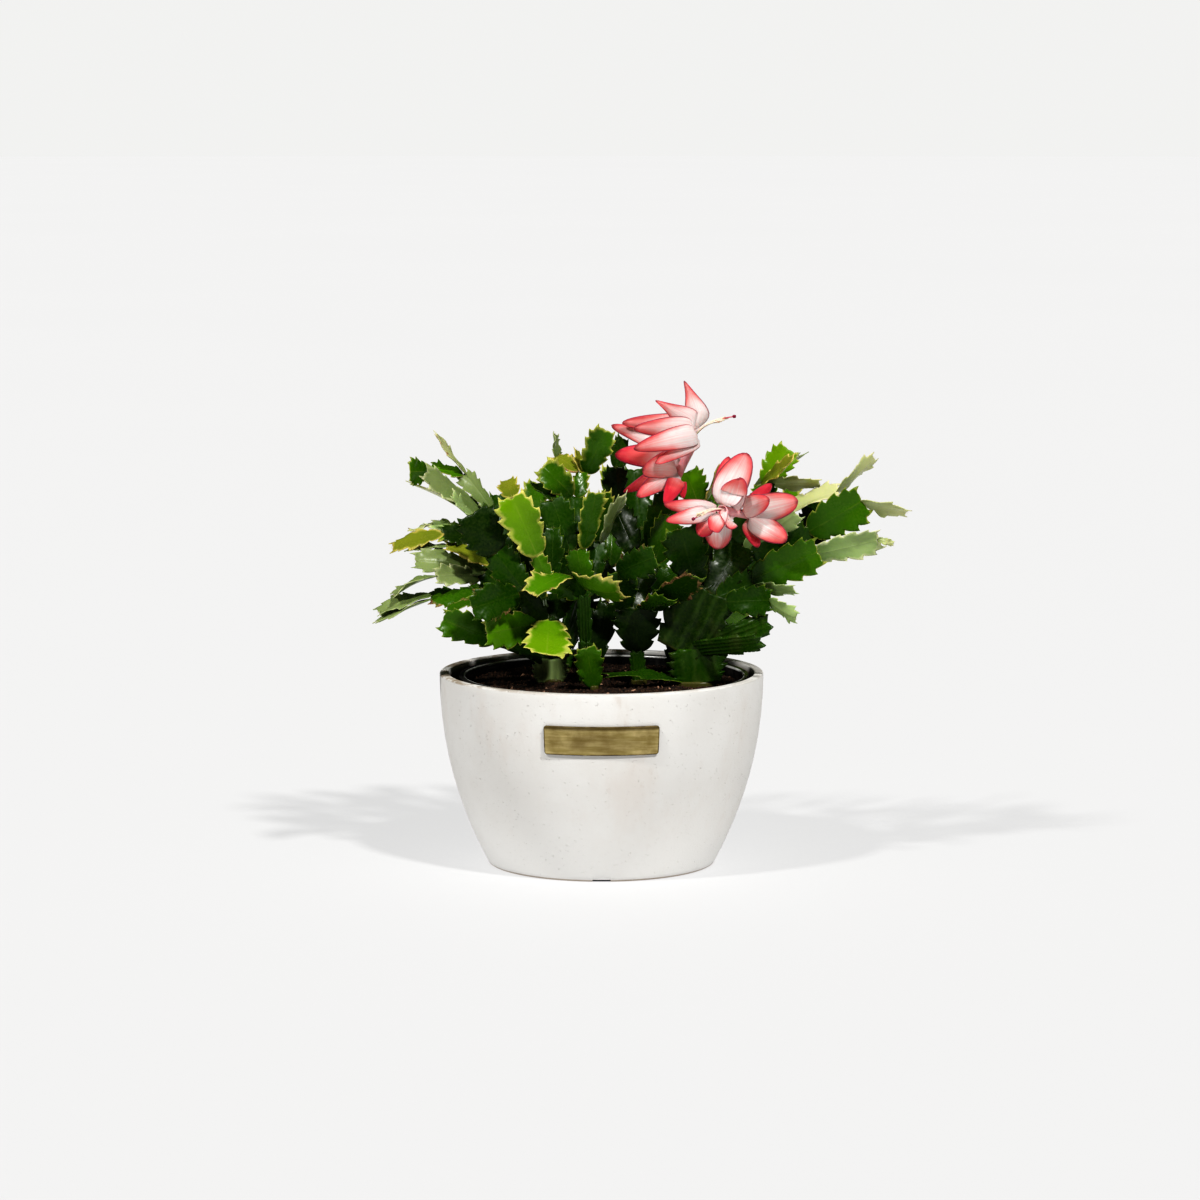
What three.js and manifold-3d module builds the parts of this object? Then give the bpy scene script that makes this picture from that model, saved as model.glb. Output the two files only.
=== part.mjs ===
// A Christmas cactus in flower. It grows in a black nursery pot that stands in a white planter.
// Millimetres, +Z up. The origin is the middle of the planter's foot, and the front faces -Y.

import * as THREE from 'three';
import { mergeVertices } from 'three/addons/utils/BufferGeometryUtils.js';
import Module from 'manifold-3d';

const wasm = await Module();
wasm.setup();

// Driving dimensions of the planter
const PLANTER_HEIGHT = 108;
const PLANTER_RIM_RADIUS = 91;
const PLANTER_FOOT_RADIUS = 63.6;
const PLANTER_WALL = 5.2;
const PLANTER_FLOOR = 8;
const PLANTER_BELLY = 2.1;
const PLANTER_SIDES = 40;
const OUTER_HEIGHTS = [0, 7, 18, 33, 52, 75];
const INNER_HEIGHTS = [75, 40, 16];
const FLOOR_FILLET = 3;
const RIM_BEVEL = 0.6;
const NOTCH = { width: 10, height: 1, depth: 4 };

// Driving dimensions of the brass plate
const PLATE = {
  width: 63,
  height: 16,
  thickness: 1.2,
  middle: 82.5,
  corner: 1.6,
  cornerSteps: [1, 0.3, 0],
  panels: 8,
};

// Driving dimensions of the nursery pot and its soil
const NURSERY = {
  rimRadius: 81.8,
  rimHeight: 106.6,
  rimDrop: 7,
  mouth: 79.4,
  foot: 58,
  wall: 1.3,
  floor: 1.6,
};
const NURSERY_ROUND = { outside: 1, inside: 0.6, draft: 0.4 };
const NURSERY_SIDES = 30;
const NURSERY_SHIFT = 1.5;
const DRAIN = { holes: 6, radius: 4, ring: 40, sides: 6, past: 2 };
const SOIL_LEVEL = 101;
const SOIL_MOUND = 1.2;
const SOIL_CLODS = {
  height: 0.5,
  wide: { x: 0.31, start: 1.3, y: 0.27 },
  narrow: { x: 0.2, y: 0.53, share: 0.6 },
};
const SOIL_RINGS = [1, 0.75, 0.5, 0.25];
const ROOT_DEPTH = 16;
const ROOT_COLLAR = 3.5;
const ROOT_EYES_SUNK = 1;
const ROOT_SIDES = 8;
const CLEARANCE = 0.3;

// Driving dimensions of the leaf segments
const SINK = 0.7;
const EYE_SHARE = 0.95;
const EYE_SPREAD = 0.55;
const FOOT_HALF = 0.3;
const MARGIN_HALF = 0.36;
const RIB_HALF = 0.8;
const WOOD = { share: 0.25, most: 2.9, margin: 0.5 };
const KEEL = 0.09;
const NARROW_BELOW = 14;
const TOOTH_CHANCE = { beyond: 0.3, slip: 0.07, shortest: 0.94, reach: 0.14 };

// Where the front view is seen from: its eye looks along +Y at the planter
const SEEN_FROM = { distance: 2200, height: 425 };

const FINISHES = {
  planter: { color: '#e3e0db', roughness: 0.55 },
  brass: { color: '#8c7748', roughness: 0.4, metalness: 0.9 },
  nurseryBlack: { color: '#141414', roughness: 0.35 },
  soil: { color: '#2b2119', roughness: 1 },
  leaf: { color: '#3f7a1c', roughness: 0.45 },
  petal: { color: '#f08f8f', roughness: 0.5 },
  stamen: { color: '#f0e3c2', roughness: 0.6 },
  style: { color: '#a8124a', roughness: 0.5 },
};

// Joining and cutting

function solidOf(geometry) {
  const bare = geometry.clone();
  bare.deleteAttribute('normal');
  bare.deleteAttribute('uv');
  const merged = mergeVertices(bare, 1e-4);
  const vertProperties = Float32Array.from(merged.attributes.position.array);
  const triVerts = Uint32Array.from(merged.index.array);
  return new wasm.Manifold(new wasm.Mesh({ numProp: 3, vertProperties, triVerts }));
}

// The one body that holds together: a sealed hollow is filled, a loose scrap is dropped, and points that
// lie closer than SMALLEST are joined
const SMALLEST = 0.01;

function mainBody(solid) {
  const bodies = solid.decompose();
  bodies.sort((a, b) => b.volume() - a.volume());
  return bodies[0].simplify(SMALLEST);
}

function geometryOf(solid) {
  const mesh = solid.getMesh();
  const geometry = new THREE.BufferGeometry();
  geometry.setAttribute('position', new THREE.BufferAttribute(mesh.vertProperties, 3));
  geometry.setIndex(new THREE.BufferAttribute(mesh.triVerts, 1));
  geometry.computeVertexNormals();
  return geometry;
}

function named(name, geometry, finish) {
  const mesh = new THREE.Mesh(geometry, new THREE.MeshStandardMaterial(finish));
  mesh.name = name;
  return mesh;
}

function lathe(points, sides) {
  const geometry = new THREE.LatheGeometry(points.map(([r, z]) => new THREE.Vector2(r, z)), sides);
  geometry.rotateX(Math.PI / 2);
  return geometry;
}

function uprightCylinder(radius, bottom, top, sides) {
  const geometry = new THREE.CylinderGeometry(radius, radius, top - bottom, sides);
  geometry.rotateX(Math.PI / 2);
  geometry.translate(0, 0, (top + bottom) / 2);
  return geometry;
}

// Planter and plate

function planterRadius(z) {
  const rise = 1 - Math.pow(1 - z / PLANTER_HEIGHT, PLANTER_BELLY);
  return PLANTER_FOOT_RADIUS + (PLANTER_RIM_RADIUS - PLANTER_FOOT_RADIUS) * rise;
}

function planter() {
  const top = PLANTER_HEIGHT;
  const outer = OUTER_HEIGHTS.map((z) => [planterRadius(z), z]);
  const inner = INNER_HEIGHTS.map((z) => [planterRadius(z) - PLANTER_WALL, z]);
  const rimInside = PLANTER_RIM_RADIUS - PLANTER_WALL;
  const profile = [
    [0, 0],
    ...outer,
    [PLANTER_RIM_RADIUS, top - RIM_BEVEL],
    [PLANTER_RIM_RADIUS - RIM_BEVEL, top],
    [rimInside + RIM_BEVEL, top],
    [rimInside, top - RIM_BEVEL],
    ...inner,
    [planterRadius(PLANTER_FLOOR) - PLANTER_WALL - FLOOR_FILLET, PLANTER_FLOOR],
    [0, PLANTER_FLOOR],
  ];
  const notch = new THREE.BoxGeometry(NOTCH.width, NOTCH.depth, 2 * NOTCH.height);
  notch.translate(0, -PLANTER_FOOT_RADIUS, 0);
  return geometryOf(solidOf(lathe(profile, PLANTER_SIDES)).subtract(solidOf(notch)));
}

// The plate is a rounded oblong bent to the planter's wall, with its back just clear of it
function plate() {
  const halfWidth = PLATE.width / 2;
  const halfHeight = PLATE.height / 2;
  const stations = [];
  for (const corner of PLATE.cornerSteps) {
    stations.push(-halfWidth + PLATE.corner * (1 - corner));
  }
  for (let i = 1; i < PLATE.panels; i += 1) {
    stations.push(-halfWidth + PLATE.corner + ((PLATE.width - 2 * PLATE.corner) * i) / PLATE.panels);
  }
  for (const corner of [...PLATE.cornerSteps].reverse()) {
    stations.push(halfWidth - PLATE.corner * (1 - corner));
  }
  const positions = [];
  for (const along of stations) {
    const past = Math.max(0, Math.abs(along) - halfWidth + PLATE.corner);
    const reach = halfHeight - PLATE.corner + Math.sqrt(PLATE.corner ** 2 - past ** 2);
    for (const [side, out] of [[-1, 0], [1, 0], [1, 1], [-1, 1]]) {
      const z = PLATE.middle + side * reach;
      const radius = planterRadius(z) + CLEARANCE + out * PLATE.thickness;
      const angle = along / planterRadius(PLATE.middle) - Math.PI / 2;
      positions.push(radius * Math.cos(angle), radius * Math.sin(angle), z);
    }
  }
  const index = [0, 2, 1, 0, 3, 2];
  for (let i = 0; i + 1 < stations.length; i += 1) {
    for (let side = 0; side < 4; side += 1) {
      const a = 4 * i + side;
      const b = 4 * i + ((side + 1) % 4);
      index.push(a, b, b + 4, a, b + 4, a + 4);
    }
  }
  const last = 4 * (stations.length - 1);
  index.push(last, last + 1, last + 2, last, last + 2, last + 3);
  return facesOut(bufferGeometry(positions, index));
}

function bufferGeometry(positions, index) {
  const geometry = new THREE.BufferGeometry();
  geometry.setAttribute('position', new THREE.Float32BufferAttribute(positions, 3));
  geometry.setIndex(index);
  return geometry;
}

function signedVolume(geometry) {
  const at = geometry.attributes.position;
  const order = geometry.index.array;
  const [a, b, c] = [new THREE.Vector3(), new THREE.Vector3(), new THREE.Vector3()];
  let sum = 0;
  for (let i = 0; i < order.length; i += 3) {
    a.fromBufferAttribute(at, order[i]);
    b.fromBufferAttribute(at, order[i + 1]);
    c.fromBufferAttribute(at, order[i + 2]);
    sum += a.dot(b.cross(c)) / 6;
  }
  return sum;
}

function facesOut(geometry) {
  if (signedVolume(geometry) < 0) {
    geometry.setIndex(Array.from(geometry.index.array).reverse());
  }
  return geometry;
}

// Nursery pot and soil

function nurseryRadius(z) {
  const share = (z - PLANTER_FLOOR) / (NURSERY.rimHeight - PLANTER_FLOOR);
  return NURSERY.foot + (NURSERY.mouth - NURSERY.foot) * share;
}

function nurseryPot() {
  const bottom = PLANTER_FLOOR + CLEARANCE;
  const top = NURSERY.rimHeight;
  const lip = top - NURSERY.rimDrop;
  const inside = bottom + NURSERY.floor;
  const profile = [
    [0, bottom],
    [nurseryRadius(bottom), bottom],
    [nurseryRadius(lip), lip],
    [NURSERY.rimRadius - NURSERY_ROUND.draft, lip],
    [NURSERY.rimRadius, top - NURSERY_ROUND.outside],
    [NURSERY.rimRadius - NURSERY_ROUND.outside, top],
    [nurseryRadius(top) - NURSERY.wall + NURSERY_ROUND.inside, top],
    [nurseryRadius(top) - NURSERY.wall, top - NURSERY_ROUND.inside],
    [nurseryRadius(inside) - NURSERY.wall, inside],
    [0, inside],
  ];
  const drain = uprightCylinder(DRAIN.radius, bottom - DRAIN.past, inside + DRAIN.past, DRAIN.sides);
  let pot = solidOf(lathe(profile, NURSERY_SIDES));
  for (let i = 0; i < DRAIN.holes; i += 1) {
    const angle = (i * 2 * Math.PI) / DRAIN.holes;
    const hole = drain.clone();
    hole.translate(DRAIN.ring * Math.cos(angle), DRAIN.ring * Math.sin(angle), 0);
    pot = pot.subtract(solidOf(hole));
  }
  return geometryOf(pot.translate([NURSERY_SHIFT, 0, 0]));
}

// The soil is mounded towards its middle, and two crossing waves stand for its clods
function soilHeight(x, y) {
  const edge = nurseryRadius(SOIL_LEVEL);
  const mound = SOIL_MOUND * (1 - (x * x + y * y) / (edge * edge));
  const { height, wide, narrow } = SOIL_CLODS;
  const lumps = Math.sin(wide.x * x + wide.start) * Math.cos(wide.y * y);
  const crumbs = narrow.share * Math.sin(narrow.x * x + narrow.y * y);
  return mound + height * (lumps + crumbs);
}

function soil(pegs) {
  const floor = PLANTER_FLOOR + NURSERY.floor + 2 * CLEARANCE;
  const shrink = NURSERY.wall + 2 * CLEARANCE;
  const edge = nurseryRadius(SOIL_LEVEL) - shrink;
  const rings = SOIL_RINGS.map((share) => [edge * share, SOIL_LEVEL]);
  const profile = [[0, floor], [nurseryRadius(floor) - shrink, floor], ...rings, [0, SOIL_LEVEL]];
  const geometry = lathe(profile, NURSERY_SIDES);
  const at = geometry.attributes.position;
  for (let i = 0; i < at.count; i += 1) {
    if (at.getZ(i) > SOIL_LEVEL - 1) {
      at.setZ(i, SOIL_LEVEL + soilHeight(at.getX(i), at.getY(i)));
    }
  }
  let ground = solidOf(geometry).translate([NURSERY_SHIFT, 0, 0]);
  for (const peg of pegs) {
    const hole = rootPeg(peg, CLEARANCE, SOIL_LEVEL + 2 * ROOT_COLLAR);
    ground = ground.subtract(solidOf(hole));
  }
  return geometryOf(mainBody(ground));
}

// Each rooted stem has an oval woody foot, which stands in a plain hole in the soil
function rootPeg({ x, y, half }, spare, top) {
  const geometry = uprightCylinder(1, SOIL_LEVEL - ROOT_DEPTH - spare, top, ROOT_SIDES);
  geometry.scale(half[0] + spare, half[1] + spare, 1);
  geometry.translate(x, y, 0);
  return geometry;
}

// The plant's small chances: the same run of shares from 0 to 1 for the same seed
function chances(seed) {
  const [factor, prime] = [16807, 2 ** 31 - 1];
  let state = seed;
  return () => {
    state = (state * factor) % prime;
    return state / prime;
  };
}

// A place given as the front view shows it on the upright plane through the planter's middle,
// moved along its line of sight to its own depth behind that plane
function seenAt(x, z, depth) {
  const reach = 1 + depth / SEEN_FROM.distance;
  return new THREE.Vector3(x * reach, depth, SEEN_FROM.height + (z - SEEN_FROM.height) * reach);
}

// Leaf segments. One side runs from near the pointed foot to the blunt tip, as [share of half width, share
// of length]. A broad segment has two hooked teeth a side, a narrow one has one, and each side ends in a horn
// at the tip. An old woody segment has a broad foot and only a waved edge. The rib's points are shares of the
// length, and the side goes on to the next of them at each of its own points that is listed under changes.
const BROAD = {
  side: [[0.62, 0.2], [0.98, 0.46], [0.84, 0.45], [1.08, 0.76], [0.86, 0.73], [0.62, 1.03]],
  rib: [0, 0.3, 0.48, 0.95],
  changes: [0, 2, 4],
};
const NARROW = {
  side: [[0.74, 0.3], [1.06, 0.68], [0.82, 0.64], [0.6, 1.03]],
  rib: [0, 0.42, 0.95],
  changes: [0, 2],
};
const OLD = {
  side: [[0.7, 0], [0.9, 0.3], [1, 0.7], [0.86, 0.72], [0.72, 1]],
  rib: [0, 0.5, 0.95],
  changes: [1, 3],
};

function segmentFrame(from, to, { width, turn, arch, thick }) {
  const along = to.clone().sub(from);
  const length = along.length();
  along.normalize();
  const middle = from.clone().add(to).multiplyScalar(0.5);
  const sight = new THREE.Vector3(0, -SEEN_FROM.distance, SEEN_FROM.height).sub(middle);
  const facing = sight.addScaledVector(along, -sight.dot(along)).normalize();
  facing.applyAxisAngle(along, THREE.MathUtils.degToRad(turn));
  const across = facing.clone().cross(along).negate();
  return { from, along, facing, across, length, half: width / 2, arch, thick };
}

// A point of the blade: across in half widths, along as a share of the length, out in millimetres
function onSegment(frame, across, along, out) {
  const keel = KEEL * frame.half * Math.abs(across);
  const lift = frame.arch * 4 * along * (1 - along) + keel + out;
  return frame.from.clone()
    .addScaledVector(frame.along, along * frame.length)
    .addScaledVector(frame.across, across * frame.half)
    .addScaledVector(frame.facing, lift);
}

// The teeth of one side are moved a little along it and in or out by chance
function segmentSide(side, chance) {
  const slip = (chance() - 0.5) * TOOTH_CHANCE.slip;
  const reach = TOOTH_CHANCE.shortest + chance() * TOOTH_CHANCE.reach;
  return side.map(([across, along], i) => {
    const toothed = along > TOOTH_CHANCE.beyond && i < side.length - 1;
    return toothed ? [across * reach, along + slip] : [across, along];
  });
}

function segmentKind({ thick, half }) {
  if (thick > RIB_HALF) {
    return OLD;
  }
  return half * 2 < NARROW_BELOW ? NARROW : BROAD;
}

// Both faces of a blade are split alike, from the margin to the points of the midrib
function segmentSolid(frame, chance) {
  const kind = segmentKind(frame);
  const points = kind.rib.map((along) => [0, along]);
  const faces = [];
  const margins = [];
  for (const hand of [1, -1]) {
    const first = points.length;
    const outline = segmentSide(kind.side, chance);
    outline.forEach(([across, along]) => points.push([hand * across, along]));
    let rib = 0;
    for (let i = 0; i + 1 < outline.length; i += 1) {
      if (kind.changes.includes(i)) {
        faces.push(hand > 0 ? [rib, first + i, rib + 1] : [rib, rib + 1, first + i]);
        rib += 1;
      }
      faces.push(hand > 0 ? [first + i, first + i + 1, rib] : [first + i + 1, first + i, rib]);
    }
    const border = [0, ...outline.map((point, i) => first + i), kind.rib.length - 1];
    margins.push(hand > 0 ? border : border.reverse());
  }
  const positions = [];
  for (const out of [1, -1]) {
    for (const [across, along] of points) {
      const onRib = across === 0;
      const pointed = along === 0 && kind !== OLD;
      const atEdge = pointed ? FOOT_HALF : MARGIN_HALF + WOOD.margin * (frame.thick - RIB_HALF);
      const half = onRib && !pointed ? frame.thick : atEdge;
      positions.push(...onSegment(frame, across, along, out * half).toArray());
    }
  }
  const back = points.length;
  const index = [];
  for (const [a, b, c] of faces) {
    index.push(a, b, c, back + a, back + c, back + b);
  }
  for (const border of margins) {
    for (let i = 0; i + 1 < border.length; i += 1) {
      const [a, b] = [border[i], border[i + 1]];
      index.push(a, back + a, back + b, a, back + b, b);
    }
  }
  return solidOf(facesOut(bufferGeometry(positions, index)));
}

// Leafy stems. A code names a segment, and without its last figure it names the one that it grows from.
// The main shoot is thick with wood up to the length of code that woody gives.
// Each row: code, seen x, seen z and depth of the tip, width, turn about its own line in degrees, arch.
const STEMS = [
  {
    name: 'stem_left',
    root: { x: -29, y: -4, half: [8, 4.5] },
    woody: 2,
    seed: 11,
    rows: [
      ['1', -29, 116, -6, 21, 8, 0],
      ['11', -31, 138, -16, 15, 0, 0],
      ['111', -31, 116.5, -46, 26, 0, -2],
      ['112', -66, 129, -36, 19, 0, 1],
      ['113', -46, 154, -26, 13, 0, 0],
      ['114', -20, 157, 0, 15, 0, 0],
      ['1131', -74, 143, -44, 20, 0, 2],
      ['1132', -60, 176, -24, 19, 0, 1],
      ['11321', -73, 198, -23, 25, 0, 2],
      ['12', -61, 126, -20, 12, 55, 1],
      ['121', -90.5, 137.5, -28, 17, 0, 1],
      ['13', -44, 142, 8, 15, 20, 0],
      ['131', -67, 166, 4, 18, 15, 1],
      ['1311', -88, 179, 0, 14, 55, 1],
      ['13111', -109, 176, 4, 12, 75, 1],
      ['1312', -106, 170, -8, 15, 35, 2],
      ['1313', -94, 161.5, -26, 13, 30, 1],
      ['13131', -117, 150, -27, 14, 86, 2],
      ['132', -73, 152, -22, 15, 45, 1],
      ['1321', -97, 149.5, -22, 14, 50, 1],
      ['13211', -126, 140.5, -28, 15, 68, 1],
      ['13212', -127, 135, -34, 12, 82, 1],
      ['133', -52, 164, 22, 16, 0, 0],
      ['1331', -70, 184, 18, 18, 0, 1],
      ['13311', -90, 185.5, 2, 14, 40, 1],
      ['133111', -118, 177.5, 4, 15, 55, 1],
      ['13312', -97, 191.5, 32, 13, 60, 2],
      ['133121', -106, 187, 18, 9, 80, 0],
      ['13313', -84, 208, 6, 12, 68, 0],
      ['1332', -67, 198, 36, 18, 0, 0],
      ['13321', -100, 222, 14, 17, 55, 1],
      ['133211', -107.5, 220.5, 4, 15, 0, 0],
      ['13322', -78, 220, 42, 14, 45, 1],
      ['133221', -93, 242, 38, 13, 78, 0],
      ['133222', -96, 223, 42, 13, 60, 1],
      ['13323', -107, 214, 18, 13, 84, 2],
    ],
  },
  {
    name: 'stem_middle',
    root: { x: -9, y: -8, half: [4.2, 3.6] },
    woody: 2,
    seed: 23,
    rows: [
      ['1', -9, 126, -9, 9, 0, 0],
      ['11', -10, 152, -14, 9, 0, 0],
      ['111', -17, 163, -22, 10, 0, 0],
      ['1111', -40, 150.5, -46, 17, 55, 2],
      ['1112', 12, 153.5, -48, 19, 62, 5],
      ['112', -30, 160, -22, 12, 0, 0],
      ['1121', -36.5, 174, -26, 11, 0, 0],
      ['11211', -51, 208, -30, 22, 0, 1],
      ['1122', -27, 190, -12, 13, 0, 0],
      ['112111', -53, 216, -8, 12, 0, 0],
      ['113', -14, 178, -12, 14, 0, 0],
      ['1131', -3, 210, -22, 14, 25, 0],
      ['1132', -28, 206, -2, 19, 0, 0],
      ['11321', -37, 214, 12, 12, 60, 0],
      ['1133', -15, 208, 10, 16, 10, 0],
      ['11331', -34, 224, 2, 17, 15, 3],
      ['11332', -11, 221, 16, 10, 0, 0],
      ['113321', -26, 229, 26, 12, 40, 1],
      ['1133211', -26, 242, 30, 11, 65, 0],
      ['113322', 3, 245, 8, 16, 0, 1],
      ['113323', -14, 233, 26, 8, 50, 0],
      ['114', -1, 183, 0, 12, 0, 0],
      ['1141', 2, 210, -12, 13, 30, 0],
      ['1142', 12, 208, -22, 12, 62, 0],
      ['2', 4, 148, 4, 14, 0, 0],
    ],
  },
  {
    name: 'stem_young',
    root: { x: -4, y: -32, half: [2.4, 1.8] },
    woody: 0,
    seed: 37,
    rows: [['1', -9, 122, -36, 15, 10, 0]],
  },
  {
    name: 'stem_centre',
    root: { x: 21, y: -6, half: [4.6, 3.6] },
    woody: 1,
    seed: 41,
    rows: [
      ['1', 20, 120, -8, 9, 0, 0],
      ['11', 19.5, 145, -10, 24, 0, 0],
      ['111', 9, 165, -20, 18, 10, 0],
      ['1111', 31, 173, -34, 17, 0, 1],
      ['112', 38, 149, -36, 14, 62, 1],
      ['113', 53, 163, -40, 19, 35, 2],
      ['114', 25, 172, 6, 17, 0, 0],
      ['1141', 38, 197, 4, 18, 20, 1],
      ['1142', 8, 200, 22, 16, 0, 0],
      ['11421', 8, 224, 20, 14, 15, 1],
      ['114211', 12, 240, 30, 13, 30, 0],
      ['1143', 38, 210, 16, 17, 20, 0],
    ],
  },
  {
    name: 'stem_right',
    root: { x: 51, y: -14, half: [13, 5] },
    woody: 2,
    seed: 53,
    rows: [
      ['1', 52, 122, -14, 33, 0, 0],
      ['11', 62, 154, -14, 36, 0, 0],
      ['12', 91, 125, -44, 12, 25, 1],
      ['13', 95, 136.5, -24, 15, 0, 1],
      ['111', 96, 148, -26, 17, 0, 1],
      ['1111', 110, 138, -36, 11, 45, 1],
      ['112', 86, 158, -8, 18, 0, 0],
      ['1121', 123, 176, -16, 22, 0, 2],
      ['1122', 109, 154, -32, 9, 40, 0],
      ['113', 44, 190, -24, 24, 0, 2],
      ['114', 80, 180, 2, 22, 0, 0],
      ['1141', 119, 181, 2, 24, 10, 2],
      ['11411', 157, 183, -8, 17, 20, 1],
      ['114111', 164, 180, -12, 4, 0, 0],
      ['11412', 147, 205, -2, 24, 5, 3],
      ['114121', 172, 197.5, 4, 12, 60, 0],
      ['11413', 123, 204, 36, 22, 15, 0],
      ['1142', 85, 196, 0, 16, 0, 0],
      ['1143', 97, 199, 14, 18, 10, 0],
      ['11431', 134, 210, 6, 15, 52, 1],
      ['114311', 153, 229, 10, 13, 66, 0],
      ['1144', 110, 198, -12, 15, 20, 0],
      ['11433', 90, 214, 24, 15, 0, 0],
      ['114331', 105, 234, 28, 17, 0, 0],
      ['114332', 108, 228, 6, 13, 60, 0],
      ['114333', 113, 230, 48, 12, 72, 0],
      ['114334', 123, 214, 14, 12, 50, 0],
      ['115', 60, 182, 14, 20, 0, 0],
      ['1151', 56, 205, 20, 17, 0, 0],
      ['11511', 47, 221, 22, 20, 0, 1],
      ['11512', 66.5, 225, 14, 10, 75, 0],
      ['2', 2, 105.5, -26, 12, 70, 2],
    ],
  },
  {
    name: 'stem_back_left',
    root: { x: -24, y: 42, half: [6.5, 4.2] },
    woody: 2,
    seed: 67,
    rows: [
      ['1', -25, 124, 46, 18, 0, 0],
      ['11', -34, 150, 58, 18, 20, 0],
      ['111', -62, 154, 74, 17, 50, 1],
      ['1111', -87, 145, 88, 17, 40, 1],
      ['112', -48, 174, 66, 18, 30, 0],
      ['1121', -72, 188, 84, 17, 45, 1],
      ['11211', -92, 186, 98, 15, 60, 1],
      ['1122', -38, 196, 78, 19, 20, 0],
      ['11221', -36, 215, 98, 15, 10, 0],
      ['1123', -58, 209, 78, 16, 20, 0],
      ['12', -12, 148, 60, 17, 40, 0],
      ['121', -22, 174, 72, 18, 20, 0],
      ['1211', -26, 202, 80, 17, 30, 1],
      ['12111', -24, 220, 96, 14, 20, 0],
      ['122', 6, 168, 72, 17, 30, 0],
      ['1221', 6, 198, 88, 19, 0, 0],
      ['12211', 4, 224, 94, 15, 30, 0],
      ['123', 11, 140, 78, 16, 30, 1],
      ['13', -30, 132, 84, 19, 10, 3],
      ['113', -52, 140, 92, 17, 20, 3],
    ],
  },
  {
    name: 'stem_back_right',
    root: { x: 44, y: 44, half: [6.5, 4.2] },
    woody: 2,
    seed: 79,
    rows: [
      ['1', 45, 130, 48, 18, 0, 0],
      ['11', 52, 156, 58, 17, 30, 0],
      ['111', 78, 160, 78, 17, 40, 1],
      ['1111', 104, 168, 92, 16, 30, 1],
      ['112', 60, 182, 72, 18, 20, 0],
      ['1121', 64, 208, 84, 17, 30, 0],
      ['113', 89, 176, 60, 18, 20, 0],
      ['1131', 104, 198, 80, 17, 20, 1],
      ['11311', 106, 216, 92, 14, 40, 0],
      ['114', 27, 160, 74, 18, 20, 0],
      ['1141', 22, 190, 66, 17, 20, 0],
      ['11411', 18, 223, 78, 17, 20, 0],
      ['1142', 38, 194, 88, 17, 10, 1],
      ['12', 66, 136, 84, 18, 10, 3],
      ['115', 84, 132, 92, 17, 20, 3],
    ],
  },
];

// The segments that grow from one blunt tip stand side by side across it, in the order in which they lean.
// The function tipAt gives the point of the tip at each share of its half width.
function setEyes(eyes, code, rows, tipAt) {
  const children = rows.filter((row) => row[0].slice(0, -1) === code);
  const middle = tipAt(0);
  const toEdge = tipAt(1).sub(middle);
  const lean = ([, x, z, depth]) => seenAt(x, z, depth).sub(middle).normalize().dot(toEdge);
  children.sort((a, b) => lean(a) - lean(b));
  const gaps = children.length - 1;
  children.forEach(([child], i) => {
    const place = gaps > 0 ? (2 * i) / gaps - 1 : 0;
    eyes[child] = tipAt(place * EYE_SPREAD * Math.min(1, gaps / 2));
  });
}

function growStem({ root, woody, seed, rows }) {
  const chance = chances(seed);
  const eyes = {};
  const crown = SOIL_LEVEL + ROOT_COLLAR - ROOT_EYES_SUNK;
  setEyes(eyes, '', rows, (share) => new THREE.Vector3(root.x + share * root.half[0], root.y, crown));
  const solids = [solidOf(rootPeg(root, 0, SOIL_LEVEL + ROOT_COLLAR))];
  for (const [code, x, z, depth, width, turn, arch] of rows) {
    const tip = seenAt(x, z, depth);
    const from = eyes[code].addScaledVector(tip.clone().sub(eyes[code]).normalize(), -SINK);
    const old = code.startsWith('1') && code.length <= woody;
    const wood = old ? Math.min(WOOD.most, WOOD.share * width) / code.length ** 2 : 0;
    const frame = segmentFrame(from, tip, { width, turn, arch, thick: RIB_HALF + wood });
    setEyes(eyes, code, rows, (share) => onSegment(frame, share, EYE_SHARE, 0));
    solids.push(segmentSolid(frame, chance));
  }
  return mainBody(wasm.Manifold.union(solids));
}

// Blooms. The tube runs from the segment that it grew on to its mouth, and each petal leaves it at its own
// place. Each petal: place along the tube, seen x, seen z and depth of the tip, width, roll about its own line.
const BLOOMS = [
  {
    name: 'bloom_1',
    foot: [38.4, 209.2, 15.4],
    mouth: [53, 241, 6],
    stigma: [74, 251.5, -2],
    petals: [
      [1, 46, 271.5, 12, 12, 0],
      [1, 30, 260.5, 4, 13, 0],
      [1, 11.5, 248, 26, 13, 0],
      [1, 18, 245, -12, 14, 0],
      [1, 18, 233.5, -24, 14, 0],
      [0.35, 5.5, 246.5, 32, 11, 0],
      [1, 30, 225, -16, 9, 0],
      [0.35, 7.5, 230.5, 8, 14, 0],
      [0.3, 23, 222, -22, 16, 0],
      [0.25, 12, 209, 4, 13, 0],
      [0.3, 20, 206.5, -16, 14, 0],
      [0.2, 35.5, 202.5, -24, 11, 0],
      [0.2, 46, 205.5, -6, 7, 0],
    ],
  },
  {
    name: 'bloom_2',
    foot: [84.6, 196, -1.45],
    mouth: [66, 199, -32],
    stigma: [51.5, 194, -54],
    petals: [
      [0.15, 110, 204, -30, 16, 0],
      [0.15, 104, 182, -30, 14, 0],
      [0.1, 88, 178, -20, 9, 0],
      [0.1, 95, 214, -2, 10, 0],
      [0.35, 94, 205, -34, 13, 0],
      [0.9, 81, 231, -20, 19, 0],
      [0.8, 71, 229, -6, 11, 0],
      [0.6, 77, 217, -38, 15, 0],
      [0.6, 70, 190, -46, 13, 0],
      [1, 35, 202, -30, 10, 0],
      [1, 36, 193, -38, 10, 0],
      [1, 54, 185, -34, 12, 0],
      [1, 65, 177, -32, 16, 0],
      [1, 62, 187, -56, 10, 0],
    ],
  },
];
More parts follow.
